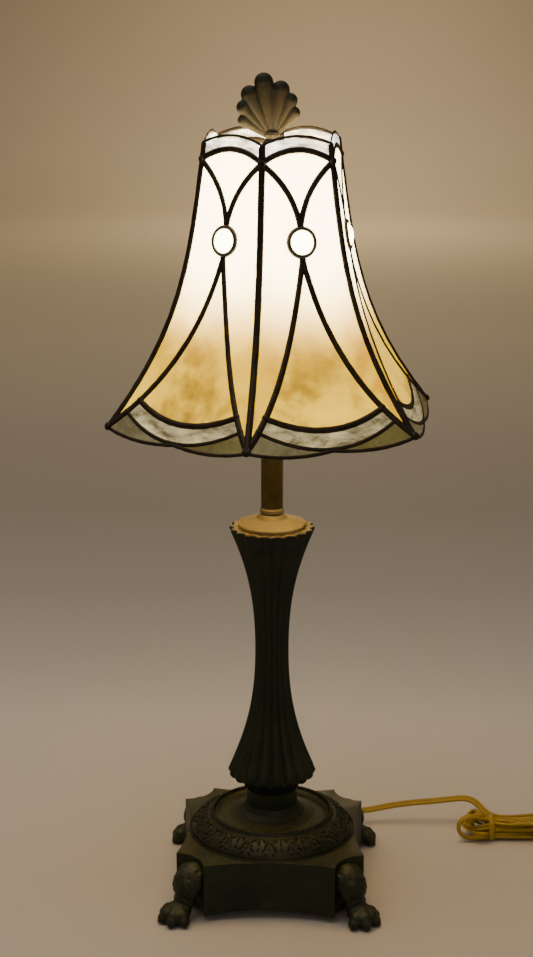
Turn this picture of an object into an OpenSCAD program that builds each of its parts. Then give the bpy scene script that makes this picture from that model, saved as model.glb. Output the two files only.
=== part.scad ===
// Table lamp with a six-sided leaded glass shade on a fluted column and a paw-footed base.
// Millimetres, +Z up. The origin is on the table surface, on the lamp's own axis.

/* [Base] */
// Half width of the base plate, measured across its corners' tips
plate_half = 72.5; // [70:0.5:75]
// Height of the plate's upper face
plate_top = 47; // [45:0.5:49]
// Thickness of the plate
plate_thick = 5; // [4:0.5:6]
// Distance from the axis to the middle of a hollow side
side_middle = 65.5; // [64:0.5:67]
// Radius of the hollow curve of a side
side_radius = 190; // [185:1:195]
// Radius of the round notch in each corner
notch_radius = 23; // [22:0.5:24]
// Wall of the hollow skirt
skirt_wall = 4; // [3:0.5:5]
// Height of the skirt's lowest points above the table
skirt_bottom = 5; // [3:0.5:7]
// Height of the skirt's edge at the middle of a side
skirt_arch = 8; // [7.5:0.5:10]
// Radius of the ornament ring
ring_radius = 63; // [60:1:65]

/* [Column] */
// Height of the column's foot
column_bottom = 82; // [80:1:84]
// Height of the column's upper rim
column_top = 296; // [290:1:300]
// Radius of the waist
waist_radius = 12.9; // [12:0.1:14]
// Height of the waist
waist_height = 197; // [190:1:205]
// Radius of the upper rim
rim_radius = 32.5; // [31:0.5:34]
// Radius of the lower flare
flare_radius = 34.2; // [32:0.2:36]
// Number of flutes round the column
flute_count = 20; // [16:2:24]

/* [Shade] */
// Height of the shade's upper corners
shade_top = 587; // [583:1:590]
// Height of the shade's lower corners
shade_bottom = 385; // [380:1:390]
// Corner radius at the top
shade_top_radius = 54; // [52:0.5:56]
// Corner radius at the bottom
shade_bottom_radius = 130; // [126:1:134]
// Turn of the shade on the lamp, seen from above
shade_turn = -6.3; // [-30:0.1:30]
// Thickness of the glass
glass_thick = 2.6; // [2:0.2:3]
// Thickness of the leading
lead_thick = 4.4; // [4:0.2:5]
// Width of the six ribs
rib_width = 4.6; // [4:0.1:5]
// Height of the jewels' centres
jewel_height = 519.5; // [515:0.5:522]
// Radius of a jewel
jewel_radius = 8.9; // [8:0.1:9.5]
// Radius of the bezel round a jewel
bezel_radius = 11.2; // [10.6:0.1:11.6]

/* [Harp and socket] */
// Underside of the harp saddle, on top of the neck tube
saddle_height = 388; // [386:0.5:390]
// Upper face of the harp seat, where the shade rests
seat_height = 580.5; // [578:0.5:582]
// Half width of the harp at its widest
harp_half = 44; // [42:0.5:45]
// Radius of the harp wire
harp_wire = 1.6; // [1.4:0.1:1.8]
// Radius of the bulb's globe
bulb_radius = 30; // [28:0.5:31]

/* [Finial] */
// Overall height of the lamp, to the tip of the finial
lamp_height = 635; // [632:1:640]
// Lean of the shell to one side
shell_lean = 8.6; // [0:0.2:10]

/* [Cord] */
// Width of the flat cord
cord_width = 5.5; // [5:0.1:6]
// Thickness of the flat cord
cord_thick = 2.8; // [2.6:0.1:3]
// Length of the folded hank
hank_length = 112; // [100:1:120]
// Width of the folded hank
hank_width = 44; // [36:1:48]
// Height of the folded hank
hank_height = 25; // [20:1:30]

/* [Hidden] */
$fn = 48;
bronze = [0.22, 0.19, 0.12];
brass = [0.72, 0.58, 0.30];
steel = [0.62, 0.62, 0.60];
lead = [0.16, 0.13, 0.09];
honey = [0.90, 0.72, 0.42];
cream = [0.97, 0.90, 0.72];
clear = [0.88, 0.89, 0.84];
gold_cord = [0.74, 0.56, 0.12];

// Rod through the whole lamp, with its nut, washer and ballast
rod_radius = 4.8;
rod_bore = 3.7;
rod_bottom = 21;
rod_clearance = 5.2;
nut_bottom = 23;
nut_height = 6;
washer_height = 1.5;
ballast_bottom = nut_bottom + nut_height + washer_height;
plate_under = plate_top - plate_thick;
ballast_radius = 40;
cover_height = 9.5;
cover_thick = 1.5;

// Base ring and neck
groove_radius = ring_radius + 2;
neck_radius = 20;
dish_radius = 45;
bead_radius = 1.8;
bead_height = 61;

// Feet, drawn along +X with X measured from the lamp's axis
notch_centre = plate_half + 0.5;
notch_diagonal = notch_centre * sqrt(2);
knee_place = [86.5, 0, 30];
knee_radius = 12.5;
ankle_place = [93, 0, 13];
ankle_radius = 10;
paw_centre = 99;
toe_radius = 6.2;
toe_reach = 11;
toe_angles = [-66, -22, 22, 66];
foot_angles = [-135, -45, 135, 45];
screw_height = 28;
screw_radius = 1.95;
screw_head_radius = 4;
screw_head_height = 2.6;
screw_end = 92;

// Neck above the column
disc_radius = 26;
disc_thick = 3.4;
disc_cone_top = 306;
check_radius = 9.25;
check_height = 5;
tube_radius = 8.4;
tube_wall = 1.3;
tube_bottom = disc_cone_top + check_height;

// Socket
saddle_thick = 1.6;
saddle_half = 26;
saddle_width = 16;
tab_thick = 1.6;
tab_width = 3;
tab_rise = 11;
cap_bottom = saddle_height + saddle_thick;
cap_height = 18;
cap_radius = 17;
shell_bottom = cap_bottom + cap_height;
shell_height = 42;
shell_wall = 0.6;
liner_wall = 0.7;
block_radius = 15.2;
block_bottom = shell_bottom + 1;
block_height = 14;
screw_shell_radius = 14.3;
screw_shell_wall = 0.4;
screw_shell_bottom = block_bottom + block_height;
bulb_base_radius = 13.2;
bulb_base_bottom = screw_shell_bottom + 4;
bulb_base_height = 25;
bulb_neck = bulb_base_bottom + bulb_base_height;
bulb_centre = bulb_neck + 56;
knob_height = block_bottom + 7;
knob_radius = 5.5;
knob_start = 20;
knob_length = 13;
knob_stem = 1.6;

// Harp seat, stud and finial foot
seat_radius = 9;
seat_thick = 2.5;
stud_radius = 3.1;
stud_top = 592;
hub_radius = 12;
hub_thick = 1.8;
hub_gap = 0.05;
hub_bottom = seat_height + hub_gap;
arm_width = 7;
finial_bottom = hub_bottom + hub_thick + hub_gap;
finial_foot_top = 592.5;
shell_base = 587;
sleeve_bottom = saddle_height + saddle_thick + 1.2;
sleeve_height = 9.5;
sleeve_gap = 0.1;
sleeve_wall = 0.9;

// Cord: where it leaves the base, and its free way to the hank
exit_x = 30;
exit_height = 20;
bushing_face = 71;
bushing_radius = 4.5;
bushing_flange = 6.5;
bushing_bore = 3;
cord_route = [
    [30, 71, 20], [30, 78, 20], [32, 86, 18.5], [37, 94, 16], [45, 100, 13.5], [55, 104, 12],
    [66, 106.5, 11.5], [78, 108, 12], [90, 109.5, 14], [102, 110.5, 16.3], [118, 111, 18.3],
    [133, 110.5, 20], [149, 110.5, 22], [160, 109.5, 24], [168, 106, 25.5], [174, 100, 24]
];
inner_route = [
    [0, 0, 404], [0, 0, 300], [0, 0, 160], [0, 0, 40], [0, 0, 21], [0, 1, 17.5], [1.5, 5, 15],
    [6, 14, 14], [14, 30, 14.5], [23, 43, 17], [28.4, 50, 19.4], [30, 56, 20], [30, 62, 20], [30, 71, 20]
];
hank_centre = [206, 84];
hank_bottom = 1.4;
tie_place = 182;
tie_width = 6;
tie_thick = 1.2;
plug_start = hank_centre[0] + hank_length / 2;
plug_size = [27, 20, 15];
blade_size = [16, 1.5, 6.3];
blade_spread = 12.7;
plug_bottom = 0.4;

// Points on curves drawn from a few handles
function curve3(a, b, c, t) = (1 - t) * (1 - t) * a + 2 * t * (1 - t) * b + t * t * c;
function curve4(a, b, c, d, t) =
    (1 - t) * (1 - t) * (1 - t) * a + 3 * t * (1 - t) * (1 - t) * b + 3 * t * t * (1 - t) * c + t * t * t * d;
function reversed(list) = [for (i = [len(list) - 1:-1:0]) list[i]];
function mirrored(list) = [for (p = list) [-p[0], p[1]]];
function unit(v) = v / norm(v);

// A strip of even width along a list of flat points
function heading(p, i) = unit(p[min(i + 1, len(p) - 1)] - p[max(i - 1, 0)]);
function beside(p, gap) = [for (i = [0:len(p) - 1]) p[i] + gap * [-heading(p, i)[1], heading(p, i)[0]]];
function strip(p, width) = concat(beside(p, width / 2), reversed(beside(p, -width / 2)));

// A closed skin through rings of equal count, the rings anticlockwise seen from the end
module skin(rings, first_middle, last_middle) {
    count = len(rings[0]);
    last = len(rings) - 1;
    points = concat([for (ring = rings) each ring], [first_middle, last_middle]);
    sides = [
        for (j = [0:last - 1]) for (i = [0:count - 1])
            let (a = j * count + i, b = j * count + (i + 1) % count)
            each [[a, a + count, b + count], [a, b + count, b]]
    ];
    bottom = [for (i = [0:count - 1]) [i, (i + 1) % count, len(points) - 2]];
    top = [for (i = [0:count - 1]) [last * count + (i + 1) % count, last * count + i, len(points) - 1]];
    polyhedron(points, concat(sides, bottom, top));
}

// A flat cord swept along a route: an oval of the cord's width and thickness
function level_across(d) = let (a = cross(d, [0, 0, 1])) norm(a) < 0.05 ? [1, 0, 0] : unit(a);
function route_heading(route, i) = unit(route[min(i + 1, len(route) - 1)] - route[max(i - 1, 0)]);
function oval_at(route, i, width, thick, sides) =
    let (d = route_heading(route, i), across = level_across(d), up = cross(across, d))
    [for (k = [0:sides - 1]) route[i]
        + width / 2 * cos(360 * k / sides) * across - thick / 2 * sin(360 * k / sides) * up];
module swept(route, width, thick, sides = 10) {
    rings = [for (i = [0:len(route) - 1]) oval_at(route, i, width, thick, sides)];
    skin([for (r = rings) reversed(r)], route[0], route[len(route) - 1]);
}

// ---- base ----

module plate_outline(inset) {
    difference() {
        square(2 * (plate_half - inset), center = true);
        for (a = [0:90:270]) rotate(a) {
            translate([side_middle + side_radius, 0]) circle(r = side_radius + inset, $fn = 96);
            translate([notch_centre, notch_centre]) circle(r = notch_radius + inset);
        }
    }
}

module base_casting() {
    arch_radius = (50 * 50 + pow(skirt_arch - skirt_bottom, 2)) / 2 / (skirt_arch - skirt_bottom);
    color(bronze) difference() {
        translate([0, 0, skirt_bottom]) linear_extrude(plate_top - skirt_bottom) plate_outline(0);
        translate([0, 0, skirt_bottom - 1]) linear_extrude(plate_under - skirt_bottom + 1)
            plate_outline(skirt_wall);
        for (a = [0, 90]) rotate([90, 0, a])
            translate([0, skirt_arch - arch_radius, 0])
                cylinder(r = arch_radius, h = 3 * plate_half, center = true, $fn = 96);
        translate([0, 0, plate_under - 1]) cylinder(r = rod_clearance, h = plate_thick + 2);
        for (a = foot_angles) rotate([0, 0, a]) translate([0, 0, screw_height]) rotate([0, 90, 0])
            translate([0, 0, notch_diagonal - notch_radius - skirt_wall - 3])
                cylinder(r = screw_radius + 0.2, h = skirt_wall + 6);
        translate([exit_x, side_middle - 12, exit_height]) rotate([-90, 0, 0])
            cylinder(r = bushing_radius + 0.1, h = 20);
    }
}

module ornament_ring() {
    color(bronze) rotate_extrude($fn = 96) polygon([
        [dish_radius, plate_top], [groove_radius, plate_top], [groove_radius, plate_top + 1],
        [ring_radius + 0.4, plate_top + 1.2], [ring_radius - 1, plate_top + 3.4],
        [ring_radius - 4, plate_top + 7.2], [ring_radius - 8, plate_top + 10.4],
        [ring_radius - 13, plate_top + 12.4], [dish_radius + 3, bead_height],
        [dish_radius + 2.6, bead_height + bead_radius], [dish_radius + 0.6, bead_height + bead_radius],
        [dish_radius, bead_height]
    ]);
}

module neck_collar() {
    color(bronze) difference() {
        rotate_extrude($fn = 96) polygon([
            [rod_clearance, plate_top], [dish_radius, plate_top], [dish_radius, bead_height],
            [dish_radius - 3, bead_height - 1.6], [34, bead_height - 0.6], [26, bead_height + 1.6],
            [neck_radius + 2, bead_height + 4], [neck_radius, bead_height + 8],
            [neck_radius, column_bottom], [rod_clearance, column_bottom]
        ]);
        translate([0, 0, plate_top - 1]) cylinder(r = neck_radius - 5, h = column_bottom - plate_top - 5);
    }
}

module paw_foot(angle) {
    color(bronze) rotate([0, 0, angle]) difference() {
        intersection() {
            union() {
                translate(knee_place) sphere(r = knee_radius);
                translate([ankle_place[0] - 3, 0, ankle_place[2]])
                    cylinder(r = ankle_radius - 0.6, h = knee_place[2] - ankle_place[2]);
                translate(ankle_place) sphere(r = ankle_radius);
                for (a = toe_angles) translate([paw_centre, 0, toe_radius - 0.3]) rotate([0, 0, a])
                    union() {
                        rotate([0, 90, 0]) cylinder(r = toe_radius - 0.4, h = toe_reach);
                        translate([toe_reach, 0, 0]) sphere(r = toe_radius);
                    }
            }
            translate([notch_diagonal, 0, 0]) cylinder(r = notch_radius, h = plate_top - 2);
        }
        translate([paw_centre, 0, -10]) cube([80, 80, 20], center = true);
        translate([0, 0, screw_height]) rotate([0, 90, 0])
            cylinder(r = screw_radius + 0.05, h = screw_end + 0.5);
    }
}

module paw_foot_front_left() paw_foot(foot_angles[0]);
module paw_foot_front_right() paw_foot(foot_angles[1]);
module paw_foot_back_left() paw_foot(foot_angles[2]);
module paw_foot_back_right() paw_foot(foot_angles[3]);

module foot_screws() {
    head_face = notch_diagonal - notch_radius - skirt_wall - 0.6;
    color(steel) for (a = foot_angles) rotate([0, 0, a]) translate([0, 0, screw_height])
        rotate([0, 90, 0]) union() {
            translate([0, 0, head_face - screw_head_height])
                cylinder(r = screw_head_radius, h = screw_head_height);
            translate([0, 0, head_face - 1]) cylinder(r = screw_radius, h = screw_end - head_face + 1);
        }
}

module drilled(radius, height, bore) {
    difference() {
        cylinder(r = radius, h = height);
        translate([0, 0, -1]) cylinder(r = bore, h = height + 2);
    }
}

module ballast_weight() {
    color(steel) translate([0, 0, ballast_bottom])
        drilled(ballast_radius, plate_under - ballast_bottom, rod_clearance);
}

module rod_washer() {
    color(steel) translate([0, 0, nut_bottom + nut_height]) drilled(14, washer_height, rod_clearance);
}

module rod_nut() {
    color(steel) translate([0, 0, nut_bottom]) difference() {
        cylinder(r = 10, h = nut_height, $fn = 6);
        translate([0, 0, -1]) cylinder(r = rod_radius, h = nut_height + 2);
    }
}

module bottom_cover() {
    color([0.12, 0.16, 0.10]) translate([0, 0, cover_height]) linear_extrude(cover_thick)
        plate_outline(skirt_wall + 0.2);
}

module threaded_rod() {
    color(brass) translate([0, 0, rod_bottom]) drilled(rod_radius, cap_bottom + 8 - rod_bottom, rod_bore);
}

// ---- column and neck ----

flute_steps = 4;
function flute_sink(r) = 0.10 * r;
function fluted_ring(r, z) = [
    for (i = [0:flute_count * flute_steps - 1])
        let (a = 360 * i / flute_count / flute_steps - 90, u = (i % flute_steps) / flute_steps,
            s = r - flute_sink(r) * sin(180 * u))
        [s * cos(a), s * sin(a), z]
];
flare_height = column_bottom + 15;
waist = [waist_radius, waist_height];
lower_curve = [for (i = [0:8])
    curve4([flare_radius, flare_height], [20, 130], [waist_radius, 155], waist, i / 8)];
upper_curve = [for (i = [1:8])
    curve4(waist, [waist_radius, 240], [20, 265], [rim_radius, column_top - 2], i / 8)];
column_outline = concat(
    [[neck_radius, column_bottom], [25, column_bottom + 6], [31, column_bottom + 10]],
    lower_curve, upper_curve, [[rim_radius - 0.3, column_top]]
);

module fluted_column() {
    recess = 1.2;
    color(bronze) difference() {
        skin([for (p = column_outline) fluted_ring(p[0], p[1])],
            [0, 0, column_bottom], [0, 0, column_top]);
        translate([0, 0, column_bottom - 1]) cylinder(r = rod_clearance, h = column_top);
        translate([0, 0, column_top - recess]) cylinder(r = disc_radius + 0.2, h = recess + 1);
        rotate_extrude() polygon([
            [0, 215], [8.5, 215], [11, 245], [15, 265], [21, 280], [21, column_top + 1], [0, column_top + 1]
        ]);
        rotate_extrude() polygon([
            [0, column_bottom - 1], [15, column_bottom - 1], [21, 96], [20, 108], [12, 132],
            [8.5, 165], [0, 165]
        ]);
    }
}

module column_cap_disc() {
    bottom = column_top - 1.2;
    color(bronze) rotate_extrude($fn = 96) polygon([
        [rod_clearance, bottom], [disc_radius, bottom], [disc_radius, bottom + disc_thick],
        [disc_radius - 0.8, bottom + disc_thick + 0.8], [12, disc_cone_top - 3.2], [9.5, disc_cone_top],
        [rod_clearance, disc_cone_top]
    ]);
}

module check_ring() {
    color(brass) translate([0, 0, disc_cone_top]) rotate_extrude() polygon([
        [rod_clearance, 0], [check_radius - 1.2, 0], [check_radius, 1.4], [check_radius, check_height - 1.4],
        [check_radius - 0.9, check_height], [rod_clearance, check_height]
    ]);
}

module neck_tube() {
    color(brass) translate([0, 0, tube_bottom])
        drilled(tube_radius, saddle_height - tube_bottom, tube_radius - tube_wall);
}

// ---- harp, socket and bulb ----

module harp_saddle() {
    color(brass) difference() {
        translate([0, 0, saddle_height]) union() {
            translate([-saddle_half, -saddle_width / 2, 0])
                cube([2 * saddle_half, saddle_width, saddle_thick]);
            for (side = [-1, 1]) translate([side * (saddle_half - tab_thick / 2), 0, tab_rise / 2])
                cube([tab_thick, tab_width, tab_rise], center = true);
        }
        translate([0, 0, saddle_height - 1]) cylinder(r = rod_clearance, h = saddle_thick + 2);
    }
}

leg_place = saddle_half + harp_wire;
leg_bottom = saddle_height + saddle_thick + 1;
bow_start = 420;
bow_end = 464;
crown_height = seat_height - 3;
harp_side = concat(
    [[leg_place, 0, leg_bottom]],
    [for (i = [0:6]) let (p = curve4([leg_place, bow_start], [leg_place, bow_start + 14],
        [harp_half, bow_end - 28], [harp_half, bow_end], i / 6)) [p[0], 0, p[1]]],
    [for (i = [0:8]) let (p = curve4([harp_half, 502], [harp_half, 545], [30, crown_height - 2],
        [6, crown_height], i / 8)) [p[0], 0, p[1]]]
);
harp_path = concat(harp_side, [for (p = reversed(harp_side)) [-p[0], 0, p[2]]]);
function wire_ring(path, i, radius, sides) =
    let (d = route_heading(path, i), up = [0, 1, 0], across = cross(up, d))
    [for (k = [0:sides - 1])
        path[i] + radius * (cos(360 * k / sides) * across - sin(360 * k / sides) * up)];

module harp_wire_loop() {
    rings = [for (i = [0:len(harp_path) - 1]) wire_ring(harp_path, i, harp_wire, 10)];
    color(brass) skin([for (r = rings) reversed(r)], harp_path[0], harp_path[len(harp_path) - 1]);
}

module harp_seat_stud() {
    color(brass) union() {
        translate([0, 0, seat_height - seat_thick]) cylinder(r = seat_radius, h = seat_thick);
        translate([0, 0, seat_height - 1]) cylinder(r = stud_radius, h = stud_top - seat_height + 1);
    }
}

// A sleeve that holds a leg of the harp against its tab, and slides up to free it
module harp_sleeve(side) {
    inner = [tab_thick + 2 * harp_wire + 2 * sleeve_gap, 2 * harp_wire + 2 * sleeve_gap];
    color(brass) translate([side * (saddle_half - tab_thick + inner[0] / 2 - sleeve_gap), 0, sleeve_bottom])
        linear_extrude(sleeve_height) difference() {
            square(inner + 2 * [sleeve_wall, sleeve_wall], center = true);
            square(inner, center = true);
        }
}

module harp_sleeve_left() harp_sleeve(-1);
module harp_sleeve_right() harp_sleeve(1);

module socket_cap() {
    color(brass) translate([0, 0, cap_bottom]) rotate_extrude() polygon([
        [rod_clearance, 0], [9, 0], [13, 3], [16, 8], [cap_radius, 13], [cap_radius, cap_height],
        [cap_radius - 0.7, cap_height], [cap_radius - 0.7, 13.2], [15.2, 8.6], [12.4, 3.8], [8.6, 1],
        [rod_clearance, 1]
    ]);
}

module socket_shell() {
    color(brass) difference() {
        translate([0, 0, shell_bottom]) drilled(cap_radius, shell_height, cap_radius - shell_wall);
        translate([0, 0, knob_height]) rotate([-90, 0, 0]) cylinder(r = knob_stem + 0.6, h = 30);
    }
}

module socket_liner() {
    color([0.55, 0.46, 0.34]) difference() {
        translate([0, 0, shell_bottom + 0.5])
            drilled(cap_radius - shell_wall, shell_height - 1, cap_radius - shell_wall - liner_wall);
        translate([0, 0, knob_height]) rotate([-90, 0, 0]) cylinder(r = knob_stem + 0.6, h = 30);
    }
}

module socket_block() {
    color([0.10, 0.09, 0.08]) difference() {
        translate([0, 0, block_bottom]) cylinder(r = block_radius, h = block_height);
        translate([0, 6, knob_height]) rotate([-90, 0, 0]) cylinder(r = knob_stem + 0.05, h = 30);
    }
}

module socket_screw_shell() {
    color(brass) translate([0, 0, screw_shell_bottom])
        drilled(screw_shell_radius, 24, screw_shell_radius - screw_shell_wall);
}

module socket_centre_contact() {
    color(brass) translate([0, 0, screw_shell_bottom]) union() {
        cylinder(r = 3, h = 0.4);
        translate([-1.5, -1.5, 0]) cube([3, 3, 0.75]);
    }
}

module switch_knob() {
    color([0.08, 0.07, 0.06]) translate([0, 0, knob_height]) rotate([-90, 0, 0]) union() {
        translate([0, 0, 8]) cylinder(r = knob_stem, h = knob_start + 1 - 8);
        translate([0, 0, knob_start]) cylinder(r = knob_radius - 1, h = 4);
        translate([0, 0, knob_start + 3]) cylinder(r = knob_radius, h = knob_length - 3);
        translate([-1.4, -7, knob_start + 3]) cube([2.8, 14, knob_length - 3]);
    }
}

module bulb_base() {
    color(steel) difference() {
        union() {
            translate([0, 0, bulb_base_bottom]) cylinder(r = bulb_base_radius, h = bulb_base_height);
            translate([0, 0, bulb_base_bottom - 2.2]) cylinder(r1 = 6, r2 = bulb_base_radius - 1, h = 2.3);
        }
        translate([0, 0, bulb_base_bottom + 6]) cylinder(r = bulb_base_radius - 0.6, h = bulb_base_height);
    }
}

module bulb_centre_contact() {
    color(brass) translate([0, 0, bulb_base_bottom - 3.2]) cylinder(r = 4.5, h = 1);
}

function globe_point(a) = [bulb_radius * cos(a), bulb_centre + bulb_radius * sin(a)];

function globe_outline(inset) = let (throat = bulb_base_radius - 1) concat(
    [[throat - inset, bulb_neck - 6], [throat - inset, bulb_neck]],
    [for (i = [1:6]) curve4([throat, bulb_neck], [throat + 1, bulb_neck + 12],
        [bulb_radius - 8, bulb_centre - 30], globe_point(-25), i / 6) - [inset, 0]],
    [for (a = [-15:10:85]) globe_point(a) * (bulb_radius - inset) / bulb_radius
        + [0, bulb_centre * inset / bulb_radius]],
    [[0, bulb_centre + bulb_radius - inset]]
);

module bulb_globe() {
    wall = 1;
    color([1, 0.97, 0.88]) rotate_extrude($fn = 64)
        polygon(concat(globe_outline(0), reversed(globe_outline(wall))));
}

// ---- shade ----

// Corner radius against height: a bell that flares to the hem
bell_steps = 12;
bell_handles = [[66, 500], [72, 455]];
bell = [for (i = [0:bell_steps])
    curve4([shade_top_radius, shade_top], bell_handles[0], bell_handles[1],
        [shade_bottom_radius, shade_bottom], i / bell_steps)];
bell_end = bell[bell_steps];
bell_long = concat(
    [bell[0] + 9 * unit(bell[0] - bell_handles[0])], bell, [bell_end + 9 * unit(bell_end - bell_handles[1])]
);
function bell_radius(z) = lookup(z, [for (p = bell_long) [p[1], p[0]]]);
panel_share = cos(30);

module bell_section(outer, inner, share) {
    polygon(concat(
        [for (p = bell_long) [share * p[0] + outer, p[1]]],
        [for (p = reversed(bell_long)) [share * p[0] - inner, p[1]]]
    ));
}

module panels() {
    for (k = [0:5]) rotate([0, 0, shade_turn + 30 + 60 * k]) children();
}

// The curved sheet of one panel, facing -Y, cut to its wedge between two ribs
module panel_sheet(outer, inner) {
    width = 2 * shade_bottom_radius;
    apex = rib_width / 2 / sin(30);
    intersection() {
        rotate([90, 0, -90]) translate([0, 0, -width / 2]) linear_extrude(width)
            bell_section(outer, inner, panel_share);
        translate([0, 0, shade_bottom - 20]) linear_extrude(shade_top - shade_bottom + 40)
            polygon([[0, -apex], [-width * sin(30), -apex - width * cos(30)],
                [width * sin(30), -apex - width * cos(30)]]);
    }
}

module drawn(points) {
    rotate([90, 0, 0]) linear_extrude(1.2 * shade_bottom_radius) polygon(points);
}

// The leading's centre lines on a panel, as width across and height
top_rim = [for (i = [0:8]) curve3([-30, 585.8], [0, 599.4], [30, 585.8], i / 8)];
arch = [for (i = [0:8]) curve3([-27.5, 575], [0, 592.2], [27.5, 575], i / 8)];
vee = [for (i = [0:8]) curve3([27.5, 575], [3, 556], [0, 528], i / 8)];
function long_leaf(t) = curve3([0, 508], [17, 423], [65.5, 385], t);
function leaf(from, to, steps) = [for (i = [0:steps]) long_leaf(from + (to - from) * i / steps)];
arc_end = 0.77;
hem_end = 0.86;
low_arc = [for (i = [0:8])
    curve3([-long_leaf(arc_end)[0], long_leaf(arc_end)[1]], [0, 384], long_leaf(arc_end), i / 8)];
hem_half = [for (i = [0:6])
    curve3([-long_leaf(hem_end)[0], long_leaf(hem_end)[1]], [0, 368.4], long_leaf(hem_end), 0.5 + i / 12)];
rim_half = [for (i = [0:6]) curve3([0, 381.6], [36, 377], [65.5, 385], i / 6)];

module at_jewel() {
    slope = (bell_radius(jewel_height - 5) - bell_radius(jewel_height + 5)) / 10 * panel_share;
    translate([0, -panel_share * bell_radius(jewel_height) + glass_thick / 2, jewel_height])
        rotate([90 - atan(slope), 0, 0]) children();
}

module leading_lines() {
    drawn(strip(top_rim, 2.4));
    drawn(strip(arch, 4.4));
    drawn(strip(low_arc, 4.2));
    for (side = [0, 1]) mirror([side, 0, 0]) {
        drawn(strip(vee, 4.6));
        drawn(strip([[0, 530], [0, 506]], 4.6));
        drawn(strip(leaf(0, 1, 12), 4.6));
        drawn(strip(hem_half, 2.6));
        drawn(strip(rim_half, 2.4));
    }
}

module glass_piece(cell) {
    difference() {
        intersection() {
            panel_sheet(-0.8, 0.8 + glass_thick);
            drawn(cell);
        }
        leading_lines();
        at_jewel() cylinder(r = bezel_radius, h = 20, center = true);
    }
}

side_cell = concat(vee, leaf(0, 1, 12), [[72, 385], [40, 575]]);
function after_first(list) = [for (i = [1:len(list) - 1]) list[i]];
corner_cell = concat(leaf(hem_end, 1, 4), reversed(after_first(rim_half)), after_first(hem_half));

module shade_leading() {
    color(lead) panels() difference() {
        intersection() {
            panel_sheet(0, lead_thick);
            leading_lines();
        }
        at_jewel() cylinder(r = bezel_radius, h = 20, center = true);
    }
}

module shade_ribs() {
    color(lead) for (k = [0:5]) rotate([0, 0, shade_turn - 90 + 60 * k]) intersection() {
        rotate([90, 0, 0]) translate([0, 0, -rib_width / 2]) linear_extrude(rib_width)
            bell_section(0.8, lead_thick, 1);
        translate([0, -rib_width, shade_bottom - 1.5])
            cube([2 * shade_bottom_radius, 2 * rib_width, shade_top - shade_bottom + 3]);
    }
}

module jewel_bezels() {
    color(lead) panels() at_jewel() translate([0, 0, -3]) drilled(bezel_radius, 6, jewel_radius);
}

module jewels() {
    dome = 21.8;
    sink = 18.3;
    color([0.98, 0.98, 0.95]) panels() at_jewel() intersection() {
        cylinder(r = jewel_radius, h = 12, center = true);
        translate([0, 0, -sink]) sphere(r = dome);
        translate([0, 0, sink]) sphere(r = dome);
    }
}

module glass_top_bands() color(clear) panels()
    glass_piece(concat(top_rim, [[30, 575]], reversed(arch), [[-30, 575]]));
module glass_arches() color(cream) panels() glass_piece(concat(arch, vee, reversed(mirrored(vee))));
module glass_sides_right() color(cream) panels() glass_piece(side_cell);
module glass_sides_left() color(cream) panels() glass_piece(mirrored(side_cell));
module glass_centres() color(honey) panels()
    glass_piece(concat(reversed(low_arc), mirrored(reversed(leaf(0, arc_end, 10))), leaf(0, arc_end, 10)));
module glass_hem_strips() color(clear) panels()
    glass_piece(concat(low_arc, leaf(arc_end, hem_end, 3), reversed(hem_half), mirrored(hem_half),
        mirrored(reversed(leaf(arc_end, hem_end, 3)))));
module glass_corners_right() color([0.72, 0.72, 0.60]) panels() glass_piece(corner_cell);
module glass_corners_left() color([0.72, 0.72, 0.60]) panels() glass_piece(mirrored(corner_cell));

module shade_spider() {
    reach = bell_radius(hub_bottom) - lead_thick;
    color(brass) translate([0, 0, hub_bottom]) linear_extrude(hub_thick) difference() {
        union() {
            circle(r = hub_radius);
            for (k = [0:2]) rotate(shade_turn - 90 + 120 * k) translate([0, -arm_width / 2])
                polygon([[0, 0], [reach - 3.4, 0], [reach - 2, 1.6], [reach, 1.6], [reach, arm_width - 1.6],
                    [reach - 2, arm_width - 1.6], [reach - 3.4, arm_width], [0, arm_width]]);
        }
        circle(r = stud_radius + 0.1);
    }
}

// ---- finial ----

lobe_angles = [0, 18.3, -18.3, 32.6, -32.6, 46.8, -46.8];
lobe_reach = [50, 43.8, 43.8, 37, 37, 29.6, 29.6];
lobe_radius = [6.2, 5.8, 5.8, 5, 5, 4.2, 4.2];

module finial_shell() {
    height = lamp_height - shell_base;
    share = height / (lobe_reach[0] * cos(shell_lean) + 0.2);
    color([0.45, 0.34, 0.20]) difference() {
        translate([0, 0, shell_base]) rotate([0, -shell_lean, 0]) scale([share, share * 0.8, share]) union() {
            for (i = [0:6]) rotate([0, lobe_angles[i], 0]) hull() {
                translate([0, 0, 1.5]) sphere(r = 2.2, $fn = 12);
                translate([0, 0, lobe_reach[i] - lobe_radius[i]]) sphere(r = lobe_radius[i], $fn = 16);
            }
            hull() {
                translate([0, 0, 1]) sphere(r = 4.6, $fn = 16);
                translate([0, 0, 9]) sphere(r = 3.4, $fn = 16);
            }
        }
        translate([0, 0, finial_foot_top - 20]) cube([60, 60, 40], center = true);
    }
}

module finial_foot() {
    color([0.45, 0.34, 0.20]) difference() {
        translate([0, 0, finial_bottom]) rotate_extrude() polygon([
            [0, 0], [7.5, 0], [7.8, 1.4], [6.4, 3.4], [4.8, 5.6], [5.4, 8],
            [5.2, finial_foot_top - finial_bottom], [0, finial_foot_top - finial_bottom]
        ]);
        translate([0, 0, finial_bottom - 1])
            cylinder(r = stud_radius + 0.05, h = stud_top - finial_bottom + 1.2);
    }
}

// ---- cord ----

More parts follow.
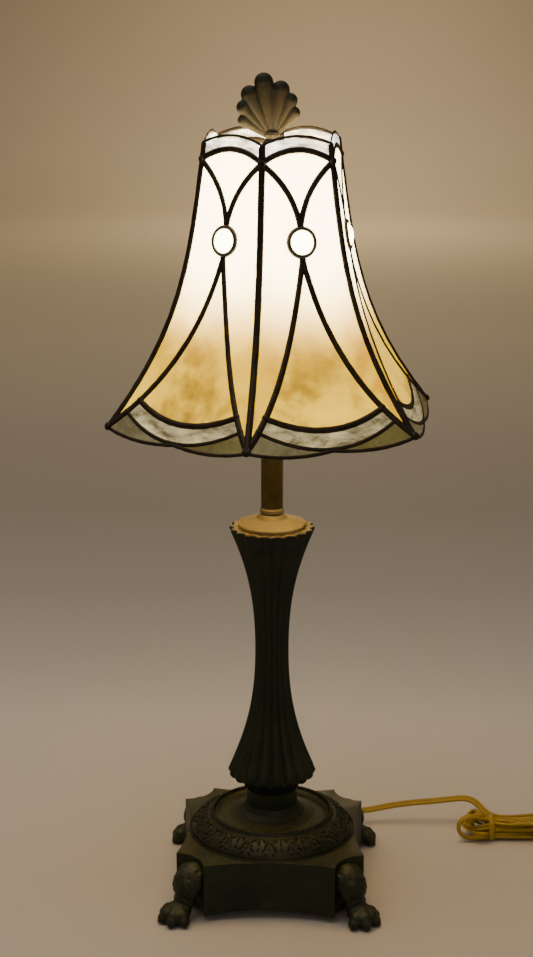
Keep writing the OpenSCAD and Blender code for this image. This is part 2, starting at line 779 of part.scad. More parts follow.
module cord_bushing() {
    color([0.10, 0.09, 0.08]) translate([exit_x, 0, exit_height]) rotate([-90, 0, 0]) difference() {
        union() {
            translate([0, 0, 59]) cylinder(r = bushing_radius, h = bushing_face - 59);
            translate([0, 0, bushing_face - 1.9]) cylinder(r = bushing_flange, h = 1.9);
        }
        translate([0, 0, 58]) cylinder(r = bushing_bore, h = bushing_face - 57);
    }
}

module cord_inner() color(gold_cord) swept(inner_route, cord_width, cord_thick);
module cord_lead() color(gold_cord) swept(cord_route, cord_width, cord_thick);

module hank_outline(grow) {
    run = hank_length / 2 - hank_width / 2;
    union() {
        for (side = [-1, 1]) translate([side * run, 0]) circle(r = hank_width / 2 + grow);
        square([2 * run, hank_width + 2 * grow], center = true);
    }
}

module cord_hank() {
    color(gold_cord) translate([hank_centre[0], hank_centre[1], hank_bottom])
        linear_extrude(hank_height) hank_outline(0);
}

module hank_tie() {
    outer = [tie_width, hank_width + 2 * tie_thick, hank_height + 2 * tie_thick];
    color([0.9, 0.9, 0.86]) translate([tie_place, hank_centre[1], hank_bottom + hank_height / 2])
        difference() {
        cube(outer, center = true);
        cube([tie_width + 2, hank_width, hank_height], center = true);
    }
}

module plug_body() {
    color(gold_cord) translate([plug_start, hank_centre[1] - plug_size[1] / 2, plug_bottom]) difference() {
        cube(plug_size);
        for (side = [-1, 1])
            translate([plug_size[0] - 5, plug_size[1] / 2 + side * blade_spread / 2 - blade_size[1] / 2,
                plug_size[2] / 2 - blade_size[2] / 2]) cube([6, blade_size[1], blade_size[2]]);
    }
}

module plug_blades() {
    color(brass) for (side = [-1, 1])
        translate([
            plug_start + plug_size[0] - 5,
            hank_centre[1] + side * blade_spread / 2 - blade_size[1] / 2,
            plug_bottom + plug_size[2] / 2 - blade_size[2] / 2
        ])
            cube([blade_size[0] + 5, blade_size[1], blade_size[2]]);
}

base_casting();
ornament_ring();
neck_collar();
paw_foot_front_left();
paw_foot_front_right();
paw_foot_back_left();
paw_foot_back_right();
foot_screws();
ballast_weight();
rod_washer();
rod_nut();
bottom_cover();
threaded_rod();
fluted_column();
column_cap_disc();
check_ring();
neck_tube();
harp_saddle();
harp_wire_loop();
harp_seat_stud();
harp_sleeve_left();
harp_sleeve_right();
socket_cap();
socket_shell();
socket_liner();
socket_block();
socket_screw_shell();
socket_centre_contact();
switch_knob();
bulb_base();
bulb_globe();
bulb_centre_contact();
shade_spider();
shade_ribs();
shade_leading();
jewel_bezels();
jewels();
glass_top_bands();
glass_arches();
glass_sides_left();
glass_sides_right();
glass_centres();
glass_hem_strips();
glass_corners_left();
glass_corners_right();
finial_foot();
finial_shell();
cord_bushing();
cord_inner();
cord_lead();
cord_hank();
hank_tie();
plug_body();
plug_blades();
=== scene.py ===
import bpy
import math
import numpy as np
from mathutils import Vector, Matrix


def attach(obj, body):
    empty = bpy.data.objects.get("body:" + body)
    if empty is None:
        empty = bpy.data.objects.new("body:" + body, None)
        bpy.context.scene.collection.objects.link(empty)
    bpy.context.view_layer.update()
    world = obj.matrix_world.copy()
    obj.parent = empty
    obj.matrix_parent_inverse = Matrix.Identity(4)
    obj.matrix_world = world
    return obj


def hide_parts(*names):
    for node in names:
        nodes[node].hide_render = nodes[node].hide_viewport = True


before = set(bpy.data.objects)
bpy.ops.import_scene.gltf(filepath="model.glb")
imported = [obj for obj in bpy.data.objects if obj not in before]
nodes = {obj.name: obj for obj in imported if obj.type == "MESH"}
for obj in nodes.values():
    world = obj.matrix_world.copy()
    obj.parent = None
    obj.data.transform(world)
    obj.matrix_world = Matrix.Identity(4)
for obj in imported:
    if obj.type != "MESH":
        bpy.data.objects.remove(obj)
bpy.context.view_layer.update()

mm = 0.001


# small helpers

def clearSelection():
    if bpy.context.object and bpy.context.object.mode != "OBJECT":
        bpy.ops.object.mode_set(mode="OBJECT")
    bpy.ops.object.select_all(action="DESELECT")


def makeActive(piece):
    clearSelection()
    piece.select_set(True)
    bpy.context.view_layer.objects.active = piece


def applyPlace(piece):
    makeActive(piece)
    bpy.ops.object.transform_apply(location=True, rotation=True, scale=True)


def addModifier(piece, kind, **values):
    modifier = piece.modifiers.new(kind.lower(), kind)
    for key, value in values.items():
        setattr(modifier, key, value)
    makeActive(piece)
    bpy.ops.object.modifier_apply(modifier=modifier.name)


def joinPieces(pieces, name):
    clearSelection()
    for piece in pieces:
        piece.select_set(True)
    bpy.context.view_layer.objects.active = pieces[0]
    bpy.ops.object.join()
    pieces[0].name = name
    return pieces[0]


def copyPiece(piece, name):
    double = piece.copy()
    double.data = piece.data.copy()
    double.name = name
    bpy.context.collection.objects.link(double)
    return double


def turnPiece(piece, degrees, about=(0, 0, 0)):
    middle = Matrix.Translation(about)
    piece.data.transform(middle @ Matrix.Rotation(math.radians(degrees), 4, "Z") @ middle.inverted())
    return piece


def smoothPiece(piece, degrees=40):
    makeActive(piece)
    bpy.ops.object.shade_smooth_by_angle(angle=math.radians(degrees))


def fixNormals(piece):
    makeActive(piece)
    bpy.ops.object.mode_set(mode="EDIT")
    bpy.ops.mesh.select_all(action="SELECT")
    bpy.ops.mesh.remove_doubles(threshold=0.00001)
    bpy.ops.mesh.normals_make_consistent(inside=False)
    bpy.ops.object.mode_set(mode="OBJECT")


def finishPiece(piece, body, material, standsFor=()):
    piece.data.materials.clear()
    piece.data.materials.append(material)
    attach(piece, body)
    if standsFor:
        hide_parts(*standsFor)
    return piece


# a lathe by hand: one circle, then extrude and scale for every ring; shape(u) gives the ring its flutes
def latheRings(name, sides, rings, shape=None, closeEnds=True):
    clearSelection()
    firstRadius, firstHeight = rings[0]
    bpy.ops.mesh.primitive_circle_add(vertices=sides, radius=firstRadius * mm,
                                      location=(0, 0, firstHeight * mm))
    piece = bpy.context.object
    piece.name = name
    applyPlace(piece)
    if shape:
        for i, vertex in enumerate(piece.data.vertices):
            turn = 2 * math.pi * i / sides
            reach = firstRadius * mm * shape(i / sides)
            vertex.co = Vector((reach * math.sin(turn), -reach * math.cos(turn), firstHeight * mm))
    bpy.ops.object.mode_set(mode="EDIT")
    bpy.ops.mesh.select_all(action="SELECT")
    if closeEnds:
        bpy.ops.mesh.edge_face_add()
        bpy.ops.mesh.poke()
        bpy.ops.mesh.select_all(action="DESELECT")
        bpy.ops.mesh.select_non_manifold()
    radius, height = firstRadius, firstHeight
    for nextRadius, nextHeight in rings[1:]:
        rise = (0, 0, (nextHeight - height) * mm)
        bpy.ops.mesh.extrude_region_move(TRANSFORM_OT_translate={"value": rise})
        grow = nextRadius / radius
        bpy.ops.transform.resize(value=(grow, grow, 1), center_override=(0, 0, nextHeight * mm))
        radius, height = nextRadius, nextHeight
    if closeEnds:
        bpy.ops.mesh.edge_face_add()
        bpy.ops.mesh.poke()
    bpy.ops.object.mode_set(mode="OBJECT")
    fixNormals(piece)
    return piece


def curve3(a, b, c, t):
    a, b, c = np.array(a, float), np.array(b, float), np.array(c, float)
    return (1 - t) ** 2 * a + 2 * t * (1 - t) * b + t * t * c


def curve4(a, b, c, d, t):
    a, b, c, d = (np.array(p, float) for p in (a, b, c, d))
    return (1 - t) ** 3 * a + 3 * t * (1 - t) ** 2 * b + 3 * t * t * (1 - t) * c + t ** 3 * d


# camera

print("stage: camera")
cameraView = {"place": (0.03727, -1.41125, 0.71211), "turn": 1.683, "pitch": 15.02, "lens": 72.63}
aim = (math.radians(90 - cameraView["pitch"]), 0, math.radians(cameraView["turn"]))
bpy.ops.object.camera_add(location=cameraView["place"], rotation=aim)
camera = bpy.context.object
camera.name = "camera"
camera.data.lens = cameraView["lens"]
camera.data.sensor_width = 36
camera.data.dof.use_dof = False
camera.data.clip_start = 0.05
bpy.context.scene.camera = camera


# materials

def newMaterial(name):
    material = bpy.data.materials.new(name)
    material.use_nodes = True
    tree = material.node_tree
    return material, tree, tree.nodes["Principled BSDF"]


# every input of a node gets either another node's socket or a plain value
def feed(tree, node, inputs):
    for key, value in inputs.items():
        if isinstance(value, bpy.types.NodeSocket):
            tree.links.new(value, node.inputs[key])
        else:
            node.inputs[key].default_value = value


def addNode(tree, kind, inputs=None, **values):
    node = tree.nodes.new(kind)
    for key, value in values.items():
        setattr(node, key, value)
    feed(tree, node, inputs or {})
    return node


def addNoise(tree, place, scale, detail, **more):
    inputs = {"Vector": place, "Scale": scale, "Detail": detail, **more}
    return addNode(tree, "ShaderNodeTexNoise", inputs).outputs["Fac"]


def addMath(tree, operation, a, b, **values):
    return addNode(tree, "ShaderNodeMath", {0: a, 1: b}, operation=operation, **values).outputs[0]


def addRange(tree, value, low, high, start=0.0, end=1.0, **values):
    inputs = {0: value, 1: low, 2: high, 3: start, 4: end}
    return addNode(tree, "ShaderNodeMapRange", inputs, **values).outputs[0]


def mixColours(tree, factor, a, b, **values):
    inputs = {"Factor": factor, 6: a, 7: b}
    return addNode(tree, "ShaderNodeMix", inputs, data_type="RGBA", **values).outputs[2]


def objectPlace(tree):
    return tree.nodes.new("ShaderNodeTexCoord").outputs["Object"]


def rgb(r, g, b):
    return (r, g, b, 1.0)


# a new group, with what its input node gives
def newGroup(name, inputs, outputs):
    group = bpy.data.node_groups.new(name, "ShaderNodeTree")
    for socketName, value in inputs.items():
        kind = "NodeSocketColor" if isinstance(value, tuple) else "NodeSocketFloat"
        socket = group.interface.new_socket(name=socketName, in_out="INPUT", socket_type=kind)
        socket.default_value = value
    for socketName, kind in outputs.items():
        group.interface.new_socket(name=socketName, in_out="OUTPUT", socket_type="NodeSocket" + kind)
    return group, group.nodes.new("NodeGroupInput").outputs


# cast metal under a painted patina: darker and lighter in clouds, pitted all over, and lighter on what faces up,
# broken up by the grain: worn metal together with a painted top light
def buildPatinaGroup():
    tree, entry = newGroup("castPatina", {
        "Dark": rgb(0.02, 0.018, 0.01), "Light": rgb(0.10, 0.08, 0.045), "Rubbed And Top Light": rgb(0.25, 0.2, 0.12),
        "Rub And Top Light Amount": 0.5, "Cloud Scale": 30.0, "Grain Scale": 600.0},
        {"Color": "Color", "Roughness": "Float", "Height": "Float"})
    place = objectPlace(tree)
    clouds = addNoise(tree, place, entry["Cloud Scale"], 6.0, Roughness=0.62)
    grain = addNoise(tree, place, entry["Grain Scale"], 3.0, Roughness=0.55)
    pitScale = addMath(tree, "MULTIPLY", entry["Grain Scale"], 0.45)
    pits = addNode(tree, "ShaderNodeTexVoronoi", {"Vector": place, "Scale": pitScale})
    shade = mixColours(tree, addRange(tree, clouds, 0.36, 0.66), entry["Dark"], entry["Light"])
    surface = tree.nodes.new("ShaderNodeNewGeometry")
    parts = addNode(tree, "ShaderNodeSeparateXYZ", {0: surface.outputs["Normal"]})
    # painted top light: faces that point up take the lighter worn colour, as if lit from above
    upFacingLit = addRange(tree, parts.outputs["Z"], 0.15, 1.0)
    rubAndTopLight = addMath(tree, "MULTIPLY", upFacingLit, addRange(tree, grain, 0.34, 0.72))
    rubAndTopLightMore = addMath(tree, "MULTIPLY", rubAndTopLight, entry["Rub And Top Light Amount"], use_clamp=True)
    pitRange = addRange(tree, pits.outputs["Distance"], 0.0, 0.35)
    height = addNode(tree, "ShaderNodeMath", {0: pitRange, 1: 0.6, 2: grain}, operation="MULTIPLY_ADD")
    addNode(tree, "NodeGroupOutput", {"Color": mixColours(tree, rubAndTopLightMore, shade, entry["Rubbed And Top Light"]),
                                      "Roughness": addRange(tree, grain, 0.3, 0.7, 0.38, 0.62),
                                      "Height": height.outputs[0]})
    return tree


# art glass: milky clouds with a warmer tone in them, a brown stain low down, and the bulb's light through it
# painted in as glow
def buildGlassGroup():
    tree, entry = newGroup("artGlass", {
        "Milk": rgb(0.95, 0.9, 0.75), "Tone": rgb(0.85, 0.65, 0.35), "Stain": rgb(0.3, 0.17, 0.06),
        "Stain Amount": 0.5, "Stain Height": 0.42, "Cloud Scale": 26.0, "Ripple Scale": 110.0, "Streak": 1.0,
        "Near": 0.06, "Far": 0.165, "Dim": 0.12},
        {"Color": "Color", "Glow": "Color", "Roughness": "Float", "Height": "Float"})
    place = objectPlace(tree)
    # rolled glass runs in level streaks
    pull = addNode(tree, "ShaderNodeCombineXYZ", {0: 1.0, 1: 1.0, 2: entry["Streak"]})
    streaked = addNode(tree, "ShaderNodeVectorMath", {0: place, 1: pull.outputs[0]},
                       operation="MULTIPLY").outputs[0]
    clouds = addNoise(tree, streaked, entry["Cloud Scale"], 4.0, Roughness=0.5, Distortion=0.5)
    fine = addNoise(tree, streaked, addMath(tree, "MULTIPLY", entry["Cloud Scale"], 4.2), 4.0, Roughness=0.6)
    ripple = addNoise(tree, streaked, entry["Ripple Scale"], 2.0, Distortion=0.8)
    both = addNode(tree, "ShaderNodeMix", {"Factor": 0.28, 2: clouds, 3: fine}, data_type="FLOAT").outputs[0]
    body = mixColours(tree, addRange(tree, both, 0.38, 0.62), entry["Milk"], entry["Tone"])
    split = addNode(tree, "ShaderNodeSeparateXYZ", {0: place})
    above = addMath(tree, "SUBTRACT", split.outputs["Z"], entry["Stain Height"])
    low = addRange(tree, above, -0.03, 0.045, 1.0, 0.0)
    stain = addMath(tree, "MULTIPLY", low, addRange(tree, both, 0.50, 0.66))
    stainMore = addMath(tree, "MULTIPLY", stain, entry["Stain Amount"], use_clamp=True)
    colour = mixColours(tree, stainMore, body, entry["Stain"])
    # painted glow: the glass emits light, strongest and palest near the bulb and fading with distance from it,
    # standing in for the bulb's light shining through
    apart = addNode(tree, "ShaderNodeVectorMath", {0: place, 1: (0, 0, 0.53)},
                    operation="DISTANCE").outputs["Value"]
    paintedBulbGlow = addRange(tree, apart, entry["Near"], entry["Far"], 1.0, 0.0, interpolation_type="SMOOTHSTEP")
    paintedBulbGlowCurve = addMath(tree, "POWER", paintedBulbGlow, 1.5)
    paintedGlowColour = mixColours(tree, paintedBulbGlowCurve, colour, rgb(1.0, 0.92, 0.58))
    strength = addRange(tree, paintedBulbGlowCurve, 0.0, 1.0, entry["Dim"], 1.0)
    glow = addNode(tree, "ShaderNodeVectorMath", {0: paintedGlowColour, "Scale": strength}, operation="SCALE")
    addNode(tree, "NodeGroupOutput", {"Color": colour, "Glow": glow.outputs[0],
                                      "Roughness": addRange(tree, ripple, 0.3, 0.7, 0.12, 0.3),
                                      "Height": ripple})
    return tree


patinaGroup = buildPatinaGroup()
glassGroup = buildGlassGroup()


def addBump(tree, shader, height, strength, distance):
    bump = addNode(tree, "ShaderNodeBump", {"Strength": strength, "Distance": distance, "Height": height})
    tree.links.new(bump.outputs["Normal"], shader.inputs["Normal"])


def metalMaterial(name, values):
    material, tree, shader = newMaterial(name)
    patina = addNode(tree, "ShaderNodeGroup", {
        "Dark": rgb(*values["dark"]), "Light": rgb(*values["light"]), "Rubbed And Top Light": rgb(*values["rubbedAndTopLight"]),
        "Rub And Top Light Amount": values["rubAndTopLight"], "Cloud Scale": values["clouds"], "Grain Scale": values["grain"]},
        node_tree=patinaGroup).outputs
    feed(tree, shader, {"Base Color": patina["Color"], "Roughness": patina["Roughness"],
                        "Metallic": values["metallic"]})
    addBump(tree, shader, patina["Height"], values["bump"], 0.0004)
    return material


def glassMaterial(name, values):
    material, tree, shader = newMaterial(name)
    art = addNode(tree, "ShaderNodeGroup", {
        "Milk": rgb(*values["milk"]), "Tone": rgb(*values["tone"]), "Stain": rgb(*values["stain"]),
        "Stain Amount": values["stainAmount"], "Stain Height": values["stainHeight"],
        "Cloud Scale": values["clouds"], "Ripple Scale": values["ripple"], "Streak": values["streak"],
        "Near": values["near"], "Far": values["far"], "Dim": values["dim"]}, node_tree=glassGroup).outputs
    feed(tree, shader, {"Base Color": art["Color"], "Emission Color": art["Glow"], "Roughness": art["Roughness"],
                        "Emission Strength": values["glow"], "Transmission Weight": values["transmission"],
                        "IOR": 1.5, "Coat Weight": 0.3, "Coat Roughness": 0.08})
    addBump(tree, shader, art["Height"], values["bump"], 0.0012)
    return material


metalFinishes = {
    "bronze": {"dark": (0.006, 0.012, 0.004), "light": (0.022, 0.029, 0.0095), "rubbedAndTopLight": (0.15, 0.13, 0.05),
               "rubAndTopLight": 0.6, "clouds": 26.0, "grain": 900.0, "bump": 0.35, "metallic": 0.35},
    "ringBronze": {"dark": (0.006, 0.007, 0.0025), "light": (0.026, 0.026, 0.009),
                   "rubbedAndTopLight": (0.10, 0.092, 0.036),
                   "rubAndTopLight": 0.45, "clouds": 34.0, "grain": 800.0, "bump": 0.35, "metallic": 0.35},
    "neckTanAndLitTop": {"dark": (0.12, 0.105, 0.062), "light": (0.20, 0.175, 0.11), "rubbedAndTopLight": (0.31, 0.27, 0.18),
                "rubAndTopLight": 0.6, "clouds": 40.0, "grain": 900.0, "bump": 0.2, "metallic": 0.3},
    "tubeTan": {"dark": (0.030, 0.025, 0.004), "light": (0.070, 0.058, 0.014), "rubbedAndTopLight": (0.2, 0.165, 0.06),
                "rubAndTopLight": 0.5, "clouds": 60.0, "grain": 900.0, "bump": 0.2, "metallic": 0.4},
    "finialBronze": {"dark": (0.003, 0.003, 0.0003), "light": (0.012, 0.010, 0.001),
                     "rubbedAndTopLight": (0.018, 0.014, 0.001),
                     "rubAndTopLight": 0.2, "clouds": 70.0, "grain": 1100.0, "bump": 0.3, "metallic": 0.2},
    "solder": {"dark": (0.012, 0.008, 0.004), "light": (0.045, 0.03, 0.016), "rubbedAndTopLight": (0.16, 0.11, 0.06),
               "rubAndTopLight": 0.35, "clouds": 60.0, "grain": 700.0, "bump": 0.5, "metallic": 0.55},
    "brass": {"dark": (0.30, 0.20, 0.07), "light": (0.55, 0.40, 0.17), "rubbedAndTopLight": (0.70, 0.55, 0.28),
              "rubAndTopLight": 0.5, "clouds": 45.0, "grain": 1300.0, "bump": 0.12, "metallic": 0.95},
    "steel": {"dark": (0.30, 0.30, 0.30), "light": (0.52, 0.52, 0.51), "rubbedAndTopLight": (0.7, 0.7, 0.68),
              "rubAndTopLight": 0.4, "clouds": 60.0, "grain": 1500.0, "bump": 0.12, "metallic": 0.95},
    "iron": {"dark": (0.03, 0.03, 0.03), "light": (0.09, 0.085, 0.08), "rubbedAndTopLight": (0.2, 0.19, 0.18),
             "rubAndTopLight": 0.3, "clouds": 30.0, "grain": 500.0, "bump": 0.6, "metallic": 0.6},
}
# what most of the glass has; each finish below gives the rest, or its own value for one of these
plainGlass = {"stain": (0.3, 0.3, 0.3), "stainAmount": 0.0, "stainHeight": 0.40, "ripple": 120.0, "streak": 1.0,
              "transmission": 0.1, "bump": 0.25}
rolledGlass = {"clouds": 50.0, "ripple": 90.0, "streak": 3.2, "bump": 0.9}
cornerGlass = {"stainAmount": 0.3, "stainHeight": 0.39, "clouds": 50.0, "near": 0.06, "far": 0.2, "dim": 0.25}
glassFinishes = {
    "cream": {"milk": (0.98, 0.70, 0.03), "tone": (0.80, 0.44, 0.010), "stain": (0.30, 0.14, 0.005),
              "stainAmount": 0.8, "stainHeight": 0.412, "clouds": 22.0,
              "near": 0.058, "far": 0.137, "dim": 0.115, "glow": 9.0},
    "honey": {"milk": (0.98, 0.70, 0.04), "tone": (0.82, 0.49, 0.015), "stain": (0.22, 0.105, 0.007),
              "stainAmount": 0.9, "stainHeight": 0.430, "clouds": 22.0,
              "near": 0.055, "far": 0.130, "dim": 0.125, "glow": 9.0},
    "clearTop": {**rolledGlass, "milk": (1.0, 0.96, 0.86), "tone": (0.16, 0.15, 0.11),
                 "near": 0.01, "far": 0.09, "dim": 0.6, "glow": 4.0, "transmission": 0.4},
    "clear": {**rolledGlass, "milk": (0.95, 0.84, 0.50), "tone": (0.20, 0.16, 0.07),
              "near": 0.05, "far": 0.2, "dim": 0.3, "glow": 1.0, "transmission": 0.45},
    "cornerPale": {**cornerGlass, "milk": (0.40, 0.36, 0.19), "tone": (0.24, 0.21, 0.10),
                   "stain": (0.25, 0.22, 0.12), "glow": 0.4},
    "cornerOlive": {**cornerGlass, "milk": (0.33, 0.29, 0.09), "tone": (0.20, 0.17, 0.045),
                    "stain": (0.15, 0.12, 0.05), "glow": 0.3},
    "jewel": {"milk": (0.97, 0.96, 0.92), "tone": (0.85, 0.83, 0.76), "clouds": 90.0, "ripple": 60.0,
              "near": 0.07, "far": 0.14, "dim": 0.5, "glow": 10.0, "transmission": 0.2, "bump": 0.1},
    "bulb": {"milk": (1.0, 0.93, 0.78), "tone": (1.0, 0.90, 0.72), "clouds": 30.0, "ripple": 60.0,
             "near": 0.05, "far": 0.12, "dim": 0.4, "glow": 9.0, "transmission": 0.0, "bump": 0.02},
}
metals = {name: metalMaterial(name, values) for name, values in metalFinishes.items()}
glasses = {name: glassMaterial("glass" + name.capitalize(), {**plainGlass, **values})
           for name, values in glassFinishes.items()}


def plasticMaterial(name, colour, speck, roughness, grain, bump):
    material, tree, shader = newMaterial(name)
    noise = addNoise(tree, objectPlace(tree), grain, 4.0)
    feed(tree, shader, {"Base Color": mixColours(tree, noise, rgb(*colour), rgb(*speck)),
                        "Roughness": addRange(tree, noise, 0.3, 0.7, roughness - 0.06, roughness + 0.08),
                        "Coat Weight": 0.0, "Transmission Weight": 0.0})
    addBump(tree, shader, noise, bump, 0.0003)
    return material


goldCord = plasticMaterial("goldCord", (0.46, 0.30, 0.001), (0.33, 0.205, 0.001), 0.42, 160.0, 0.06)
blackPlastic = plasticMaterial("blackPlastic", (0.018, 0.016, 0.014), (0.035, 0.03, 0.026), 0.42, 900.0, 0.25)
fibreBoard = plasticMaterial("fibreBoard", (0.38, 0.27, 0.14), (0.25, 0.17, 0.08), 0.8, 400.0, 0.5)
greenFelt = plasticMaterial("greenFelt", (0.03, 0.055, 0.03), (0.055, 0.09, 0.05), 0.92, 1500.0, 0.9)


# cord

print("stage: cord")
cordShape = {"width": 5.5, "thick": 2.8, "length": 1800.0, "step": 3.6, "tip": 38.0, "settle": 0.16,
             "ease": 1.6, "pull": 2.2, "pullFrom": 0.14, "pullMost": 0.45,
             "route": [(30, 71, 20), (30, 78, 20), (32, 86, 18.5), (37, 94, 16), (45, 100, 13.5),
                       (55, 104, 12), (66, 106.5, 11.5), (78, 108, 12), (90, 109.5, 14), (102, 110.5, 16.3),
                       (118, 111, 18.3), (133, 110.5, 20), (149, 110.5, 22), (160, 109.5, 24),
                       (168, 106, 24.4)]}
# folds of the hank: tilt from level, radius, middle y and z; a left one also says how far left it reaches
rightFolds = [(90, 10.6, 84, 13), (8, 9.6, 80, 9), (60, 9.8, 90, 12), (120, 9.6, 78, 12),
              (25, 9.4, 86, 6.4), (80, 10.2, 92, 12.6), (-15, 9.4, 84, 15)]
leftFolds = [(88, 10.6, 74, 13.2, 152.5), (8, 9.8, 88, 10.5, 158.0), (-20, 11.0, 76, 6.4, 165.0),
             (62, 9.6, 91, 12.4, 161.0), (100, 10.2, 82, 13.6, 163.0), (35, 9.4, 92, 9.0, 160.0),
             (75, 10.6, 86, 12.6, 165.0)]
hankShape = {"tie": 182, "middle": 205, "centre": 84, "spread": 0.3, "stagger": 3.5, "lift": 0.6,
             "shortest": 235.0, "longest": 268.0, "tail": [(215, 84, 8.6), (245, 84, 7.9), (262, 84, 7.9)],
             # where the fifteen runs cross the tie, y and z
             "slots": [(90, 15.2), (78.2, 3.1), (84.2, 15.4), (90, 3.2), (78.2, 12.4), (84.2, 3.1), (90, 6.2),
                       (78.2, 15.4), (84.2, 6.1), (90, 12.3), (78.2, 6.1), (84.2, 12.3), (90, 9.3),
                       (78.2, 9.2), (84.2, 9.2)]}


def evenPoints(points, step):
    points = np.array(points, float)
    along = np.concatenate([[0], np.cumsum(np.linalg.norm(np.diff(points, axis=0), axis=1))])
    count = max(2, int(round(along[-1] / step)))
    marks = np.linspace(0, along[-1], count + 1)
    return np.stack([np.interp(marks, along, points[:, k]) for k in range(3)], axis=1)


# an even path through the points, its corners eased over eleven steps, and its length
def smoothThrough(points, step):
    points = np.array(points, float)
    padded = np.vstack([2 * points[0] - points[1], points, 2 * points[-1] - points[-2]])
    fine = []
    for i in range(1, len(padded) - 2):
        p0, p1, p2, p3 = padded[i - 1:i + 3]
        t0 = 0.0
        t1 = np.linalg.norm(p1 - p0) ** 0.5
        t2 = t1 + np.linalg.norm(p2 - p1) ** 0.5
        t3 = t2 + np.linalg.norm(p3 - p2) ** 0.5
        for t in np.linspace(t1, t2, 12, endpoint=False):
            a1 = (t1 - t) / (t1 - t0) * p0 + (t - t0) / (t1 - t0) * p1
            a2 = (t2 - t) / (t2 - t1) * p1 + (t - t1) / (t2 - t1) * p2
            a3 = (t3 - t) / (t3 - t2) * p2 + (t - t2) / (t3 - t2) * p3
            b1 = (t2 - t) / (t2 - t0) * a1 + (t - t0) / (t2 - t0) * a2
            b2 = (t3 - t) / (t3 - t1) * a2 + (t - t1) / (t3 - t1) * a3
            fine.append((t2 - t) / (t2 - t1) * b1 + (t - t1) / (t2 - t1) * b2)
    fine.append(points[-1])
    even = evenPoints(fine, step)
    window = np.exp(-0.5 * (np.arange(-5, 6) / cordShape["ease"]) ** 2)
    window /= window.sum()
    padded = np.vstack([2 * even[0] - even[5:0:-1], even, 2 * even[-1] - even[-2:-7:-1]])
    eased = np.stack([np.convolve(padded[:, k], window, mode="valid") for k in range(3)], axis=1)
    return eased, float(np.linalg.norm(np.diff(eased, axis=0), axis=1).sum())


# half a turn from one slot round to the next; way is 1 for a fold on the right and -1 for one on the left
def foldPoints(end, way, opening, tilt, radius, y, z, fromSlot, toSlot):
    lean = math.radians(tilt)
    across = (fromSlot[1] - toSlot[1]) * math.sin(lean) + (fromSlot[0] - toSlot[0]) * math.cos(lean)
    sign = 1 if across > 0 else -1
    points = []
    for a in (opening, 40, 0, -40, -opening):
        side = radius * math.sin(math.radians(a)) * sign
        points.append((end - way * radius * (1 - math.cos(math.radians(a))),
                       y + side * math.cos(lean), z + side * math.sin(lean)))
    return points


def hankRoute(reach):
    points = list(cordShape["route"])
    tie, middle = hankShape["tie"], hankShape["middle"]
    for k, (rightFold, (*leftFold, left)) in enumerate(zip(rightFolds, leftFolds)):
        out, back, after = hankShape["slots"][2 * k:2 * k + 3]
        shift = (rightFold[2] - hankShape["centre"]) * hankShape["spread"]
        points += [(tie, out[0], out[1] + hankShape["lift"]), (middle, out[0] + shift, out[1])]
        points += foldPoints(reach - hankShape["stagger"] * (k % 3), 1, 78, *rightFold, out, back)
        points += [(middle, back[0] + shift, back[1]), (tie, *back)]
        points += foldPoints(left, -1, 80, *leftFold, back, after)
    return points + [(tie, *hankShape["slots"][-1])] + hankShape["tail"]


# the wide side turns with each fold and settles back, tipped to the front, on the straight runs
def cordFrames(path):
    tangent = np.gradient(path, axis=0)
    tangent /= np.linalg.norm(tangent, axis=1)[:, None]
    hinge = np.cross(tangent, np.gradient(tangent, axis=0))
    up = np.array([0.0, 0.0, 1.0])
    tip = math.radians(cordShape["tip"])
    across = []
    last = np.array([-1.0, 0, 0])
    for t, h in zip(tangent, hinge):
        side = np.cross(up, t)
        settled = math.cos(tip) * side + math.sin(tip) * up
        strength = np.linalg.norm(h)
        if np.dot(h, last) < 0:
            h = -h
        if np.dot(settled, last) < 0:
            settled = -settled
        pull = min(cordShape["pullMost"], cordShape["pull"] * max(0.0, strength - cordShape["pullFrom"]))
        v = last + pull * h / max(strength, 1e-6) + cordShape["settle"] * settled
        v -= np.dot(v, t) * t
        v /= np.linalg.norm(v)
        across.append(v)
        last = v
    return tangent, np.array(across)


# two round conductors side by side in one jacket
def twinSection():
    radius, offset = cordShape["thick"] / 2, (cordShape["width"] - cordShape["thick"]) / 2
    section = []
    for middle, turns in ((offset, range(-150, 151, 30)), (-offset, range(30, 331, 30))):
        for a in turns:
            section.append((middle + radius * math.cos(math.radians(a)), radius * math.sin(math.radians(a))))
    return section


def sweepCord(name, path):
    tangent, across = cordFrames(path)
    section = twinSection()
    count = len(section)
    corners, faces = [], []
    for point, t, a in zip(path, tangent, across):
        up = np.cross(a, t)
        for x, y in section:
            corners.append(tuple((point + x * a + y * up) * mm))
    for i in range(len(path) - 1):
        for j in range(count):
            k = (j + 1) % count
            faces.append((i * count + j, i * count + k, (i + 1) * count + k, (i + 1) * count + j))
    faces.append(tuple(range(count))[::-1])
    faces.append(tuple((len(path) - 1) * count + j for j in range(count)))
    mesh = bpy.data.meshes.new(name)
    mesh.from_pydata(corners, [], faces)
    piece = bpy.data.objects.new(name, mesh)
    bpy.context.collection.objects.link(piece)
    fixNormals(piece)
    smoothPiece(piece, 60)
    return piece


# the right folds go out just far enough for the cord to have its full length
low, high = hankShape["shortest"], hankShape["longest"]
for turn in range(24):
    middle = (low + high) / 2
    cordPath, cordLength = smoothThrough(hankRoute(middle), cordShape["step"])
    if cordLength < cordShape["length"]:
        low = middle
    else:
        high = middle
print("cord runs", round(cordLength, 1), "mm, right folds at", round(middle, 1))
cordPiece = sweepCord("lampCord", cordPath)
finishPiece(cordPiece, "lamp", goldCord, ("cord_lead", "cord_hank"))

tieShape = {"x": 182.0, "y": 84.2, "z": 9.4, "halfWidth": 9.8, "halfHeight": 8.6, "corner": 0.55, "band": 12,
            "wide": 22, "lowest": 0.2}


